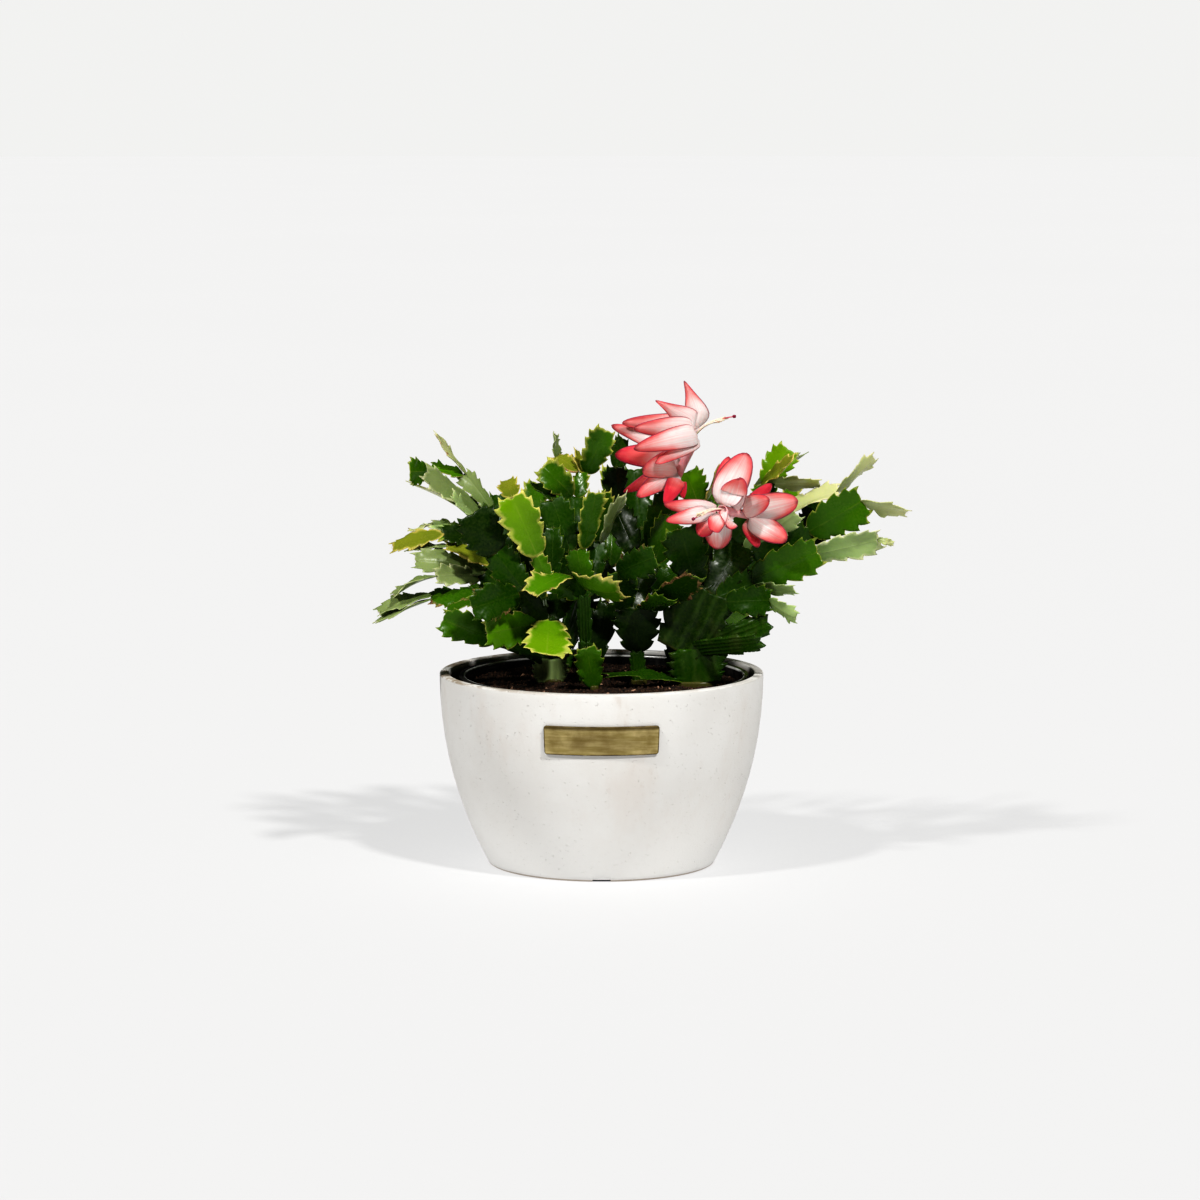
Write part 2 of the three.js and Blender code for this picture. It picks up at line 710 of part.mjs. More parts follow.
const TUBE_RADII = [[0, 0.9], [0.08, 2.7], [0.5, 2.4], [1, 4.2]];
const TUBE_SIDES = 6;
const THROAT = { radius: 2.9, floor: 1.8, depth: 9, past: 2 };
const RINGS = { parting: 0.7, upper: 3.5, lower: 1.9, sunk: 2 };
const PETAL_HALF = 0.36;
const PETAL_SHARES = [[0, 0.2], [0.32, 0.84], [0.78, 0.92], [1, 0.16]];
const PETAL_CUP = 0.16;
const PETAL_LEAD = 0.34;
const PETAL_TURNED = 0.6;
const RING_EVENNESS = 0.5;

// A round body along a straight line, given by its radius at shares of the way
function taperedRod(from, to, radii, sides) {
  const length = from.distanceTo(to);
  const profile = [[0, 0], ...radii.map(([share, radius]) => [radius, share * length]), [0, length]];
  const geometry = lathe(profile, sides);
  const upward = new THREE.Vector3(0, 0, 1);
  const onward = to.clone().sub(from).normalize();
  geometry.applyQuaternion(new THREE.Quaternion().setFromUnitVectors(upward, onward));
  geometry.translate(from.x, from.y, from.z);
  return geometry;
}

// A petal leaves the tube along it, lying against it, then bends and turns on its way to its tip.
// With no roll the front view sees the tip's whole width.
function petalSolid(start, axis, tip, width, roll) {
  const chord = tip.clone().sub(start);
  const bend = start.clone().addScaledVector(axis, chord.length() * PETAL_LEAD);
  const line = new THREE.QuadraticBezierCurve3(start, bend, tip);
  const atTube = axis.clone().cross(chord).normalize();
  const sight = new THREE.Vector3(0, -SEEN_FROM.distance, SEEN_FROM.height).sub(tip);
  const atTip = chord.clone().cross(sight).normalize();
  if (atTip.dot(atTube) < 0) {
    atTip.negate();
  }
  atTip.applyAxisAngle(chord.normalize(), THREE.MathUtils.degToRad(roll));
  const positions = [];
  for (const out of [1, -1]) {
    for (const [share, spread] of PETAL_SHARES) {
      const middle = line.getPoint(share);
      const across = atTube.clone().lerp(atTip, Math.min(1, share / PETAL_TURNED)).normalize();
      const facing = across.clone().cross(line.getTangent(share)).normalize();
      for (const hand of [-1, 0, 1]) {
        const cup = PETAL_CUP * width * spread * Math.abs(hand);
        const point = middle.clone()
          .addScaledVector(across, (hand * spread * width) / 2)
          .addScaledVector(facing, cup + out * PETAL_HALF);
        positions.push(...point.toArray());
      }
    }
  }
  const rows = PETAL_SHARES.length;
  const back = 3 * rows;
  const index = [];
  for (let row = 0; row + 1 < rows; row += 1) {
    for (const column of [0, 1]) {
      const a = 3 * row + column;
      const quad = column === 0 ? [a, a + 1, a + 4, a, a + 4, a + 3] : [a, a + 1, a + 3, a + 1, a + 4, a + 3];
      index.push(...quad);
      for (let i = 0; i < 6; i += 3) {
        index.push(back + quad[i], back + quad[i + 2], back + quad[i + 1]);
      }
    }
  }
  const border = [0, 3, 6, 9, 10, 11, 8, 5, 2, 1, 0];
  for (let i = 0; i + 1 < border.length; i += 1) {
    const [a, b] = [border[i], border[i + 1]];
    index.push(a, b, back + b, a, back + b, back + a);
  }
  return solidOf(facesOut(bufferGeometry(positions, index)));
}

// The petals of one ring leave the tube in the order in which their tips lie around it. Each starts part of
// the way from its tip's own side towards its even share of the turn, so that they stand clear of each other.
function ringPlaces(members, from, to, line) {
  const first = new THREE.Vector3(0, 0, 1);
  first.addScaledVector(line, -first.dot(line)).normalize();
  const second = line.clone().cross(first);
  const places = members.map((petal) => {
    const [share, x, z, depth] = petal;
    const onAxis = from.clone().lerp(to, share);
    const lean = seenAt(x, z, depth).sub(onAxis);
    return { petal, onAxis, angle: Math.atan2(lean.dot(second), lean.dot(first)) };
  });
  places.sort((a, b) => a.angle - b.angle);
  const turn = (2 * Math.PI) / places.length;
  const offset = places.reduce((sum, place, i) => sum + place.angle - turn * i, 0) / places.length;
  places.forEach((place, i) => {
    const angle = place.angle + RING_EVENNESS * (offset + turn * i - place.angle);
    place.aside = first.clone().multiplyScalar(Math.cos(angle)).addScaledVector(second, Math.sin(angle));
  });
  return places;
}

function bloomPetals({ foot, mouth, stigma, petals }) {
  const from = seenAt(...foot);
  const to = seenAt(...mouth);
  const axis = to.clone().sub(from).normalize();
  const gape = seenAt(...stigma).sub(to).normalize();
  const solids = [solidOf(taperedRod(from, to, TUBE_RADII, TUBE_SIDES))];
  const rings = [
    { line: gape, radius: RINGS.upper, members: petals.filter(([share]) => share > RINGS.parting) },
    { line: axis, radius: RINGS.lower, members: petals.filter(([share]) => share <= RINGS.parting) },
  ];
  for (const { line, radius, members } of rings) {
    const places = ringPlaces(members, from, to, line);
    for (const { petal, onAxis, aside } of places) {
      const [, x, z, depth, width, roll] = petal;
      const start = onAxis.clone().addScaledVector(aside, radius).addScaledVector(line, -RINGS.sunk);
      solids.push(petalSolid(start, line, seenAt(x, z, depth), width, roll));
    }
  }
  const floor = to.clone().addScaledVector(axis, -THROAT.depth);
  const opening = to.clone().addScaledVector(axis, THROAT.past);
  const throat = taperedRod(floor, opening, [[0, THROAT.floor], [1, THROAT.radius]], TUBE_SIDES);
  return mainBody(wasm.Manifold.union(solids).subtract(solidOf(throat)));
}

// Stamens spread above the style, which lies lowest in the mouth and reaches furthest. They leave a short
// column in the tube. A bend is measured from the mouth, along the tube, above it and across it.
const STAMENS = {
  count: 4,
  radius: 0.34,
  sides: 4,
  steps: 3,
  above: 0.7,
  column: { radius: 0.75, below: 3, sunk: 1, across: 0.5 },
  bend: { along: 5, above: 1.6, across: 1.3 },
  tip: { reach: 0.8, shorter: 0.14, above: 4, lower: 0.4, across: 3.5 },
};
const STYLE = { radius: 0.5, sides: 5, steps: 6, below: 0.8, bend: { along: 5, below: 1.2 } };
const STIGMA = { radius: 1.3, sides: 6, rings: 4 };

function filament(points, radius, sides, steps) {
  const section = new THREE.Shape();
  for (let i = 0; i < sides; i += 1) {
    const angle = (i * 2 * Math.PI) / sides;
    section.lineTo(radius * Math.cos(angle), radius * Math.sin(angle));
  }
  const path = new THREE.CatmullRomCurve3(points);
  return new THREE.ExtrudeGeometry(section, { steps, bevelEnabled: false, extrudePath: path });
}

function bloomThread({ foot, mouth, stigma }) {
  const from = seenAt(...foot);
  const to = seenAt(...mouth);
  const end = seenAt(...stigma);
  const axis = to.clone().sub(from).normalize();
  const floor = to.clone().addScaledVector(axis, CLEARANCE - THROAT.depth);
  const above = new THREE.Vector3(0, 0, 1);
  above.addScaledVector(axis, -above.dot(axis)).normalize();
  const across = axis.clone().cross(above);
  return { to, end, axis, floor, above, across };
}

function bloomStamens(bloom) {
  const { to, end, axis, floor, above, across } = bloomThread(bloom);
  const { column, bend, tip } = STAMENS;
  const foot = floor.clone().addScaledVector(above, STAMENS.above);
  const collar = foot.clone().addScaledVector(axis, THROAT.depth - column.below);
  const width = [[0, column.radius], [1, column.radius]];
  const solids = [solidOf(taperedRod(foot, collar, width, TUBE_SIDES))];
  for (let i = 0; i < STAMENS.count; i += 1) {
    const place = (2 * i) / (STAMENS.count - 1) - 1;
    const rooted = collar.clone()
      .addScaledVector(axis, -column.sunk)
      .addScaledVector(across, column.across * place);
    const bent = to.clone()
      .addScaledVector(axis, bend.along)
      .addScaledVector(above, bend.above)
      .addScaledVector(across, bend.across * place);
    const head = to.clone().lerp(end, tip.reach * (1 - tip.shorter * Math.abs(place)))
      .addScaledVector(above, tip.above * (1 - tip.lower * place * place))
      .addScaledVector(across, tip.across * place);
    const thread = filament([rooted, bent, head], STAMENS.radius, STAMENS.sides, STAMENS.steps);
    solids.push(solidOf(thread));
  }
  return mainBody(wasm.Manifold.union(solids));
}

function bloomStyle(bloom) {
  const { to, end, axis, floor, above } = bloomThread(bloom);
  const foot = floor.clone().addScaledVector(above, -STYLE.below);
  const bent = to.clone()
    .addScaledVector(axis, STYLE.bend.along)
    .addScaledVector(above, -STYLE.bend.below);
  const style = filament([foot, bent, end], STYLE.radius, STYLE.sides, STYLE.steps);
  const stigma = new THREE.SphereGeometry(STIGMA.radius, STIGMA.sides, STIGMA.rings);
  stigma.translate(end.x, end.y, end.z);
  return mainBody(solidOf(style).add(solidOf(stigma)));
}

const plant = new THREE.Group();
plant.add(named('outer_pot', planter(), FINISHES.planter));
plant.add(named('plate', plate(), FINISHES.brass));
plant.add(named('nursery_pot', nurseryPot(), FINISHES.nurseryBlack));
plant.add(named('soil', soil(STEMS.map((stem) => stem.root)), FINISHES.soil));
for (const stem of STEMS) {
  plant.add(named(stem.name, geometryOf(growStem(stem)), FINISHES.leaf));
}
for (const bloom of BLOOMS) {
  plant.add(named(bloom.name, geometryOf(bloomPetals(bloom)), FINISHES.petal));
  plant.add(named(`${bloom.name}_stamens`, geometryOf(bloomStamens(bloom)), FINISHES.stamen));
  plant.add(named(`${bloom.name}_style`, geometryOf(bloomStyle(bloom)), FINISHES.style));
}

export default plant;
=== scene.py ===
import math
import random
import bmesh
import bpy
from mathutils import Matrix, Quaternion, Vector, geometry, noise


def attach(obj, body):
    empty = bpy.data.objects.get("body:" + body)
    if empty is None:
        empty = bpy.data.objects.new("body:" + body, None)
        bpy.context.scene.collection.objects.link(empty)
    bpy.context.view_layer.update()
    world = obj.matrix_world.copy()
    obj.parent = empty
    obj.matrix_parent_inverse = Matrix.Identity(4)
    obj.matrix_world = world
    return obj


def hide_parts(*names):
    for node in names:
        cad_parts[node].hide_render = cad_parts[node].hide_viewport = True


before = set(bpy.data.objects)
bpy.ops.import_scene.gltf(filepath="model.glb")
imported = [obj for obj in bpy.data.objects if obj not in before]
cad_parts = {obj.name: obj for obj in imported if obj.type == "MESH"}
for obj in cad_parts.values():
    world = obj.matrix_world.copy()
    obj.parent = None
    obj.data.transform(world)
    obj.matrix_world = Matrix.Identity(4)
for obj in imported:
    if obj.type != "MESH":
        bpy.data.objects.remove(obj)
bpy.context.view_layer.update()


# PLANTER
# The white bowl-shaped planter is one moulded shell of chalky mineral and resin, with a flat rim, a flat foot
# and a small notch under its front edge. Its face is faintly clouded. Its rim is worn to beige. Its inside is
# painted clouded beige-brown to dark brown: its own beige, darkened with painted shade.

MM = 0.001
PLANTER_HEIGHT = 108
PLANTER_RIM_RADIUS = 91
PLANTER_FOOT_RADIUS = 63.6
PLANTER_WALL = 5.2
PLANTER_FLOOR = 8
PLANTER_BELLY = 2.1
PLANTER_SIDES = 160
NOTCH = {"width": 10, "height": 1, "depth": 1.2}


class Wire:
    """A value on its way through a node tree. Each sum, product or named step on it adds one node."""

    def __init__(self, socket):
        self.socket = socket
        self.tree = socket.id_data

    def step(self, operation, *others):
        ends = (self, *others)
        node = self.tree.nodes.new("ShaderNodeVectorMath" if any(map(is_wide, ends)) else "ShaderNodeMath")
        node.operation = operation
        sockets = [node.inputs[0], node.inputs[3]] if operation == "SCALE" else node.inputs
        for socket, end in zip(sockets, ends):
            feed(socket, end)
        return Wire(node.outputs[0])

    def __add__(self, other):
        return self.step("ADD", other)

    def __sub__(self, other):
        return self.step("SUBTRACT", other)

    def __mul__(self, other):
        return self.step("SCALE" if is_wide(self) and not is_wide(other) else "MULTIPLY", other)

    def power(self, exponent):
        return self.step("POWER", exponent)

    def size(self):
        return self.step("ABSOLUTE")

    def sine(self):
        return self.step("SINE")

    def unit(self):
        return self.step("NORMALIZE")

    def cross(self, other):
        return self.step("CROSS_PRODUCT", other)

    def inverse(self):
        """One less this share."""
        return made(self.tree, "ShaderNodeMath", {0: 1.0, 1: self}, operation="SUBTRACT")

    def rise(self, low, high, least=0.0, most=1.0):
        """A smooth rise from least to most while the value goes from low to high."""
        sockets = {"Value": self, "From Min": low, "From Max": high, "To Min": least, "To Max": most}
        return made(self.tree, "ShaderNodeMapRange", sockets, interpolation_type="SMOOTHSTEP")

    def parts(self):
        return [Wire(output) for output in put(self.tree, "ShaderNodeSeparateXYZ", {0: self}).outputs]

    def pick(self, low, high):
        """From low to high as this share goes from 0 to 1, for colours."""
        return made(self.tree, "ShaderNodeMix", {0: self, 6: low, 7: high}, output=2, data_type="RGBA")


def is_wide(value):
    """Whether a value is a vector or a colour."""
    return isinstance(value, tuple) or isinstance(value, Wire) and value.socket.type in ("VECTOR", "RGBA")


def feed(socket, value):
    if isinstance(value, Wire):
        socket.id_data.links.new(value.socket, socket)
    else:
        socket.default_value = value


def put(tree, kind, inputs=None, **settings):
    """A new node with its settings and what feeds its inputs."""
    node = tree.nodes.new(kind)
    for name, value in settings.items():
        setattr(node, name, value)
    for name, value in (inputs or {}).items():
        feed(node.inputs[name], value)
    return node


def made(tree, kind, inputs=None, output=0, **settings):
    """What a new node puts out."""
    return Wire(put(tree, kind, inputs, **settings).outputs[output])


def paint(red, green, blue):
    """A paint chip, read from 0 to 255, as the renderer's own red, green, blue and cover."""
    def linear(level):
        share = level / 255
        return share / 12.92 if share <= 0.04045 else ((share + 0.055) / 1.055) ** 2.4
    return (linear(red), linear(green), linear(blue), 1.0)


def new_tree(name, inputs, kind="GeometryNodeTree", output=("Geometry", "Geometry")):
    """A node tree with named inputs, each given as its starting value or its kind, and one named output."""
    tree = bpy.data.node_groups.new(name, kind)
    for label, value in inputs.items():
        socket = value if isinstance(value, str) else "Int" if isinstance(value, int) else "Float"
        item = tree.interface.new_socket(name=label, in_out="INPUT", socket_type="NodeSocket" + socket)
        if value is not socket:
            item.default_value = value
    tree.interface.new_socket(name=output[0], in_out="OUTPUT", socket_type="NodeSocket" + output[1])
    entry = tree.nodes.new("NodeGroupInput")
    given = {label: Wire(entry.outputs[label]) for label in inputs}
    return tree, given, tree.nodes.new("NodeGroupOutput").inputs[0]


def mottle_group():
    """Soft clouds: a mask that covers a share of the surface, with edges from sharp to soft."""
    inputs = {"Place": "Vector", "Size": 20.0, "Share": 0.5, "Softness": 0.1, "Detail": 4.0}
    tree, given, end = new_tree("mottle", inputs, "ShaderNodeTree", ("Mask", "Float"))
    sockets = {"Vector": given["Place"], "Scale": given["Size"], "Detail": given["Detail"], "Roughness": 0.6}
    cloud = made(tree, "ShaderNodeTexNoise", sockets)
    middle = given["Share"].rise(0.0, 1.0, 0.72, 0.28)
    feed(end, cloud.rise(middle - given["Softness"], middle + given["Softness"]))
    return tree


MOTTLE = mottle_group()


class Finish:
    """A material being mixed: its node tree, its Principled shader and the masks that are laid over it."""

    def __init__(self, name, **plain):
        self.material = bpy.data.materials.new(name)
        self.material.use_nodes = True
        self.tree = self.material.node_tree
        self.shader = self.tree.nodes["Principled BSDF"]
        self.place = made(self.tree, "ShaderNodeTexCoord", output="Object")
        self.wear(**plain)

    def mottle(self, size, share, softness=0.12, detail=4.0, place=None):
        """Clouds of a size, as a count to the metre, over a share of the surface."""
        sockets = {"Place": place or self.place, "Size": size, "Share": share, "Softness": softness,
                   "Detail": detail}
        return made(self.tree, "ShaderNodeGroup", sockets, node_tree=MOTTLE)

    def noise(self, size, detail=4.0, place=None):
        sockets = {"Vector": place or self.place, "Scale": size, "Detail": detail}
        return made(self.tree, "ShaderNodeTexNoise", sockets)

    def value(self, name, output="Fac"):
        """What the mesh itself keeps at each point under that name."""
        return made(self.tree, "ShaderNodeAttribute", output=output, attribute_name=name)

    def wear(self, **sockets):
        """Sets the shader's own sockets, each to one value or to what the nodes give."""
        for label, value in sockets.items():
            feed(self.shader.inputs[label.replace("_", " ")], value)

    def done(self, colour, rough, height, depth):
        """The material in its colour, as rough as this and in relief, up to a depth in metres."""
        relief = made(self.tree, "ShaderNodeBump", {"Height": height, "Distance": depth, "Strength": 1.0})
        self.wear(Base_Color=colour, Roughness=rough, Normal=relief)
        return self.material


def planter_radius(z):
    rise = 1 - (1 - z / PLANTER_HEIGHT) ** PLANTER_BELLY
    return PLANTER_FOOT_RADIUS + (PLANTER_RIM_RADIUS - PLANTER_FOOT_RADIUS) * rise


def arc(middle, radius, first, last, steps):
    """Points of an arc in a profile, from one angle to another in degrees."""
    angles = [math.radians(first + (last - first) * i / steps) for i in range(steps + 1)]
    return [(middle[0] + radius * math.cos(a), middle[1] + radius * math.sin(a)) for a in angles]


def skin(form, rings):
    """Faces from each ring of points to the next one. A ring may be a single point."""
    for lower, upper in zip(rings, rings[1:]):
        count = max(len(lower), len(upper))
        for a in range(count):
            b = (a + 1) % count
            corners = [ring[i % len(ring)] for ring, i in ((lower, a), (lower, b), (upper, b), (upper, a))]
            form.faces.new(list(dict.fromkeys(corners)))


def turned(name, profile, angles, marks=None, shift=(0, 0)):
    """A closed body turned from a profile of radius and height in millimetres, with both ends on its axis."""
    form = bmesh.new()
    layers = {label: form.verts.layers.float.new(label) for label in (marks or {})}
    rings = []
    for i, (radius, z) in enumerate(profile):
        ring = []
        for angle in angles if radius > 1e-6 else angles[:1]:
            at = (radius * math.cos(angle) + shift[0], radius * math.sin(angle) + shift[1], z)
            point = form.verts.new(Vector(at) * MM)
            for label, layer in layers.items():
                point[layer] = marks[label][i]
            ring.append(point)
        rings.append(ring)
    skin(form, rings)
    bmesh.ops.recalc_face_normals(form, faces=form.faces)
    return finished(name, form)


def stand(name, data):
    """A new object in the scene that holds a mesh, a lamp or a camera."""
    piece = bpy.data.objects.new(name, data)
    bpy.context.scene.collection.objects.link(piece)
    return piece


def finished(name, form):
    """The piece made from a form, with smooth faces, at the origin."""
    mesh = bpy.data.meshes.new(name)
    form.to_mesh(mesh)
    form.free()
    for face in mesh.polygons:
        face.use_smooth = True
    return stand(name, mesh)


def even_turns(sides):
    return [2 * math.pi * i / sides for i in range(sides)]


def make_planter():
    top = PLANTER_HEIGHT
    inner_rim = PLANTER_RIM_RADIUS - PLANTER_WALL
    outside = [(planter_radius(z), z) for z in (0.5, 3, 6, 10, 15, 20, 26, 33, 41, 50, 60, 72, 84, 96, 104)]
    inside = [(planter_radius(z) - PLANTER_WALL, z) for z in (104, 92, 75, 58, 40, 28, 20, 15)]
    notch_back = PLANTER_FOOT_RADIUS - NOTCH["depth"]
    profile = [(0, 0), (notch_back - 0.2, 0), (notch_back, 0), (PLANTER_FOOT_RADIUS - 0.6, 0), *outside]
    outer_round, inner_round = 1.1, 1.0
    profile += arc((PLANTER_RIM_RADIUS - outer_round, top - outer_round), outer_round, 0, 90, 5)
    profile += arc((inner_rim + inner_round, top - inner_round), inner_round, 90, 180, 5)
    start_inside = len(profile)
    profile += inside
    corner = 3
    corner_middle = planter_radius(PLANTER_FLOOR + corner) - PLANTER_WALL - corner
    profile += arc((corner_middle, PLANTER_FLOOR + corner), corner, 0, -90, 5)
    profile += [(30, PLANTER_FLOOR), (0, PLANTER_FLOOR)]
    inside_mark = [float(i >= start_inside) for i in range(len(profile))]
    half_notch = NOTCH["width"] / 2 / PLANTER_FOOT_RADIUS
    corners = [side * half_notch + slip - math.pi / 2 for side in (-1, 1) for slip in (-0.002, 0.002)]
    angles = sorted(even_turns(PLANTER_SIDES) + [corner % (2 * math.pi) for corner in corners])
    piece = turned("planter_shell", profile, angles, {"inside": inside_mark})
    for point in piece.data.vertices:
        x, y, z = point.co
        in_front = y < 0 and math.hypot(x, y) > (notch_back - 0.1) * MM
        if in_front and abs(x) < NOTCH["width"] / 2 * MM and z < 0.6 * MM:
            point.co.z = NOTCH["height"] * MM
    return piece


def chalky_white():
    finish = Finish("chalky planter white", Specular_IOR_Level=0.35)
    x, y, z = finish.place.parts()
    clouds = finish.mottle(22, 0.5, 0.22)
    smears = finish.mottle(34, 0.34, 0.12, place=finish.place * (1.0, 1.0, 0.45))
    scuffs = finish.mottle(150, 0.3, 0.06, 5.0, place=finish.place * (1.0, 1.0, 0.5))
    colour = clouds.pick(paint(228, 227, 224), paint(223, 221, 217))
    colour = (smears * 0.5).pick(colour, paint(216, 209, 202))
    colour = (scuffs * smears * 0.55).pick(colour, paint(206, 197, 188))
    pits = finish.mottle(620, 0.12, 0.03, 2.0)
    colour = (pits * 0.22).pick(colour, paint(170, 160, 150))
    # Painted light: the wall is painted paler towards its foot, for light that reaches it there.
    low = z.rise(0.002, 0.06).inverse()
    colour = (low * 0.75).pick(colour, paint(246, 245, 242))
    colour = (z.rise(0.0004, 0.0013).inverse() * 0.8).pick(colour, paint(150, 126, 98))
    # Painted shade: the faces inside the notch are painted near black, for the shade that falls in it.
    notch_top, notch_side = NOTCH["height"] * MM, NOTCH["width"] / 2 * MM
    under_top = z.rise(notch_top - 0.0001, notch_top + 0.0002).inverse()
    between_sides = x.size().rise(notch_side - 0.0002, notch_side + 0.0001).inverse()
    in_front = y.rise(-0.06, -0.05).inverse()
    colour = (under_top * between_sides * in_front).pick(colour, paint(30, 26, 22))
    rim_top = PLANTER_HEIGHT * MM
    rim = z.rise(rim_top - 0.0014, rim_top - 0.0003)
    back = (y * 0.6 - x).rise(-0.05, 0.06, 0.25, 1.0)
    worn = finish.mottle(95, 0.52, 0.1, 6.0) * rim * back
    colour = worn.pick(colour, paint(158, 145, 128))
    flecks = finish.mottle(420, 0.2, 0.04) * rim * back
    colour = flecks.pick(colour, paint(84, 74, 62))
    # Painted shade: the inside is far darker than the white outside, for the shade inside the bowl.
    inside = finish.value("inside")
    lining_and_shade = finish.mottle(60, 0.5, 0.2, 6.0).pick(paint(128, 112, 94), paint(74, 62, 50))
    colour = inside.pick(colour, lining_and_shade)
    grain = finish.noise(900, 3.0)
    height = grain * 0.5 - pits * 1.2 + smears * 0.25
    return finish.done(colour, clouds.rise(0.0, 1.0, 0.56, 0.7), height, 0.00018)


def dress(piece, slot, *nodes, material=None):
    """The piece gets its material, rides on the plant's one body and stands for its own CAD nodes."""
    if material:
        piece.data.materials.clear()
        piece.data.materials.append(material)
    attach(piece, "root")
    if nodes:
        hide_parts(*nodes)


dress(make_planter(), "planter", "outer_pot", material=chalky_white())


# BRASS PLATE
# A small oblong of cast brass, bent to the planter's wall and fixed to its front with hidden pins. It is
# antiqued dark in its lows and at its edges, with painted shade along its top edge, and worn bright on its
# plain face.

PLATE = {"width": 63, "height": 16, "thickness": 1.2, "middle": 82.5, "corner": 1.6, "clearance": 0.3}
PLATE_EDGE = {"drop": 0.35, "reach": 0.9, "edge_band": 1.5}


def make_plate():
    half_width = PLATE["width"] / 2
    half_height = PLATE["height"] / 2
    corner = PLATE["corner"]
    ends = [0, 0.08, 0.25, 0.5, 0.8, 1.2, 1.6, 2.2]
    steps = 40
    along = [inset - half_width for inset in ends]
    along += [ends[-1] - half_width + (PLATE["width"] - 2 * ends[-1]) * i / steps for i in range(1, steps)]
    along += [half_width - inset for inset in reversed(ends)]
    insets = [0, 0.15, 0.4, 0.8, 1.2, 1.6, 2.4]
    form = bmesh.new()
    edge_mark = form.verts.layers.float.new("edge")
    columns = []
    for x in along:
        past = max(0.0, abs(x) - half_width + corner)
        reach = half_height - corner + math.sqrt(max(0.0, corner ** 2 - past ** 2))
        rows = [inset - reach for inset in insets] + [-reach / 2, 0, reach / 2]
        rows += [reach - inset for inset in reversed(insets)]
        column = [(-reach, 0.0, 0.0)]
        for y in rows:
            inner = min(reach - abs(y), half_width - abs(x))
            drop = PLATE_EDGE["drop"] * max(0.0, 1 - inner / PLATE_EDGE["reach"]) ** 2
            column.append((y, PLATE["thickness"] - drop, inner))
        column.append((reach, 0.0, 0.0))
        angle = x / planter_radius(PLATE["middle"]) - math.pi / 2
        ring = []
        for y, out, inner in column:
            z = PLATE["middle"] + y
            radius = planter_radius(z) + PLATE["clearance"] + out
            point = form.verts.new(Vector((radius * math.cos(angle), radius * math.sin(angle), z)) * MM)
            point[edge_mark] = max(0.0, 1 - inner / PLATE_EDGE["edge_band"])
            ring.append(point)
        columns.append(ring)
    skin(form, columns)
    form.faces.new(columns[0])
    form.faces.new(columns[-1][::-1])
    bmesh.ops.recalc_face_normals(form, faces=form.faces)
    return finished("brass_plate", form)


def antique_brass():
    finish = Finish("antique brass", Metallic=1.0)
    x, _, z = finish.place.parts()
    edge = finish.value("edge")
    brushed = finish.noise(240, 4.0, place=finish.place * (0.35, 0.35, 3.0))
    clouds = finish.mottle(90, 0.45, 0.2, 6.0)
    colour = brushed.rise(0.3, 0.7).pick(paint(212, 195, 144), paint(176, 160, 106))
    colour = (clouds * 0.6).pick(colour, paint(138, 119, 70))
    middle, edge_top = PLATE["middle"] * MM, (PLATE["middle"] + PLATE["height"] / 2) * MM
    oval = (x * 38.0).power(2.0) + ((z - (middle - 0.0015)) * 160.0).power(2.0)
    colour = (oval.rise(0.15, 1.1).inverse() * 0.35).pick(colour, paint(120, 102, 62))
    # Painted shade: a dark band along the plate's top edge, joined to the real patina along its edges.
    top = z.rise(edge_top - 0.0029, edge_top - 0.0007)
    tarnish_and_top_shade = (edge.rise(0.35, 1.0) * finish.mottle(200, 0.7, 0.2)).step("MAXIMUM", top * 0.75)
    colour = tarnish_and_top_shade.pick(colour, paint(66, 50, 26))
    height = brushed * 0.6 + finish.noise(1500, 2.0) * 0.6 - tarnish_and_top_shade * 0.4
    return finish.done(colour, (tarnish_and_top_shade + clouds).rise(0.0, 1.4, 0.34, 0.62), height, 0.00012)


dress(make_plate(), "brass_plate", "plate", material=antique_brass())


# NURSERY POT
# A thin black plastic grower's pot, blown in one piece with a rolled rim and six drain holes in its floor. It
# stands loose on the planter's floor, with its rim just under the planter's own.

NURSERY = {"rim radius": 81.8, "rim height": 106.6, "rim drop": 7, "mouth": 79.4, "foot": 58, "wall": 1.3,
           "floor": 1.6}
NURSERY_SHIFT = 1.5
DRAIN = {"holes": 6, "radius": 4, "ring": 40, "depth": 8}


def nursery_radius(z):
    share = (z - PLANTER_FLOOR) / (NURSERY["rim height"] - PLANTER_FLOOR)
    return NURSERY["foot"] + (NURSERY["mouth"] - NURSERY["foot"]) * share


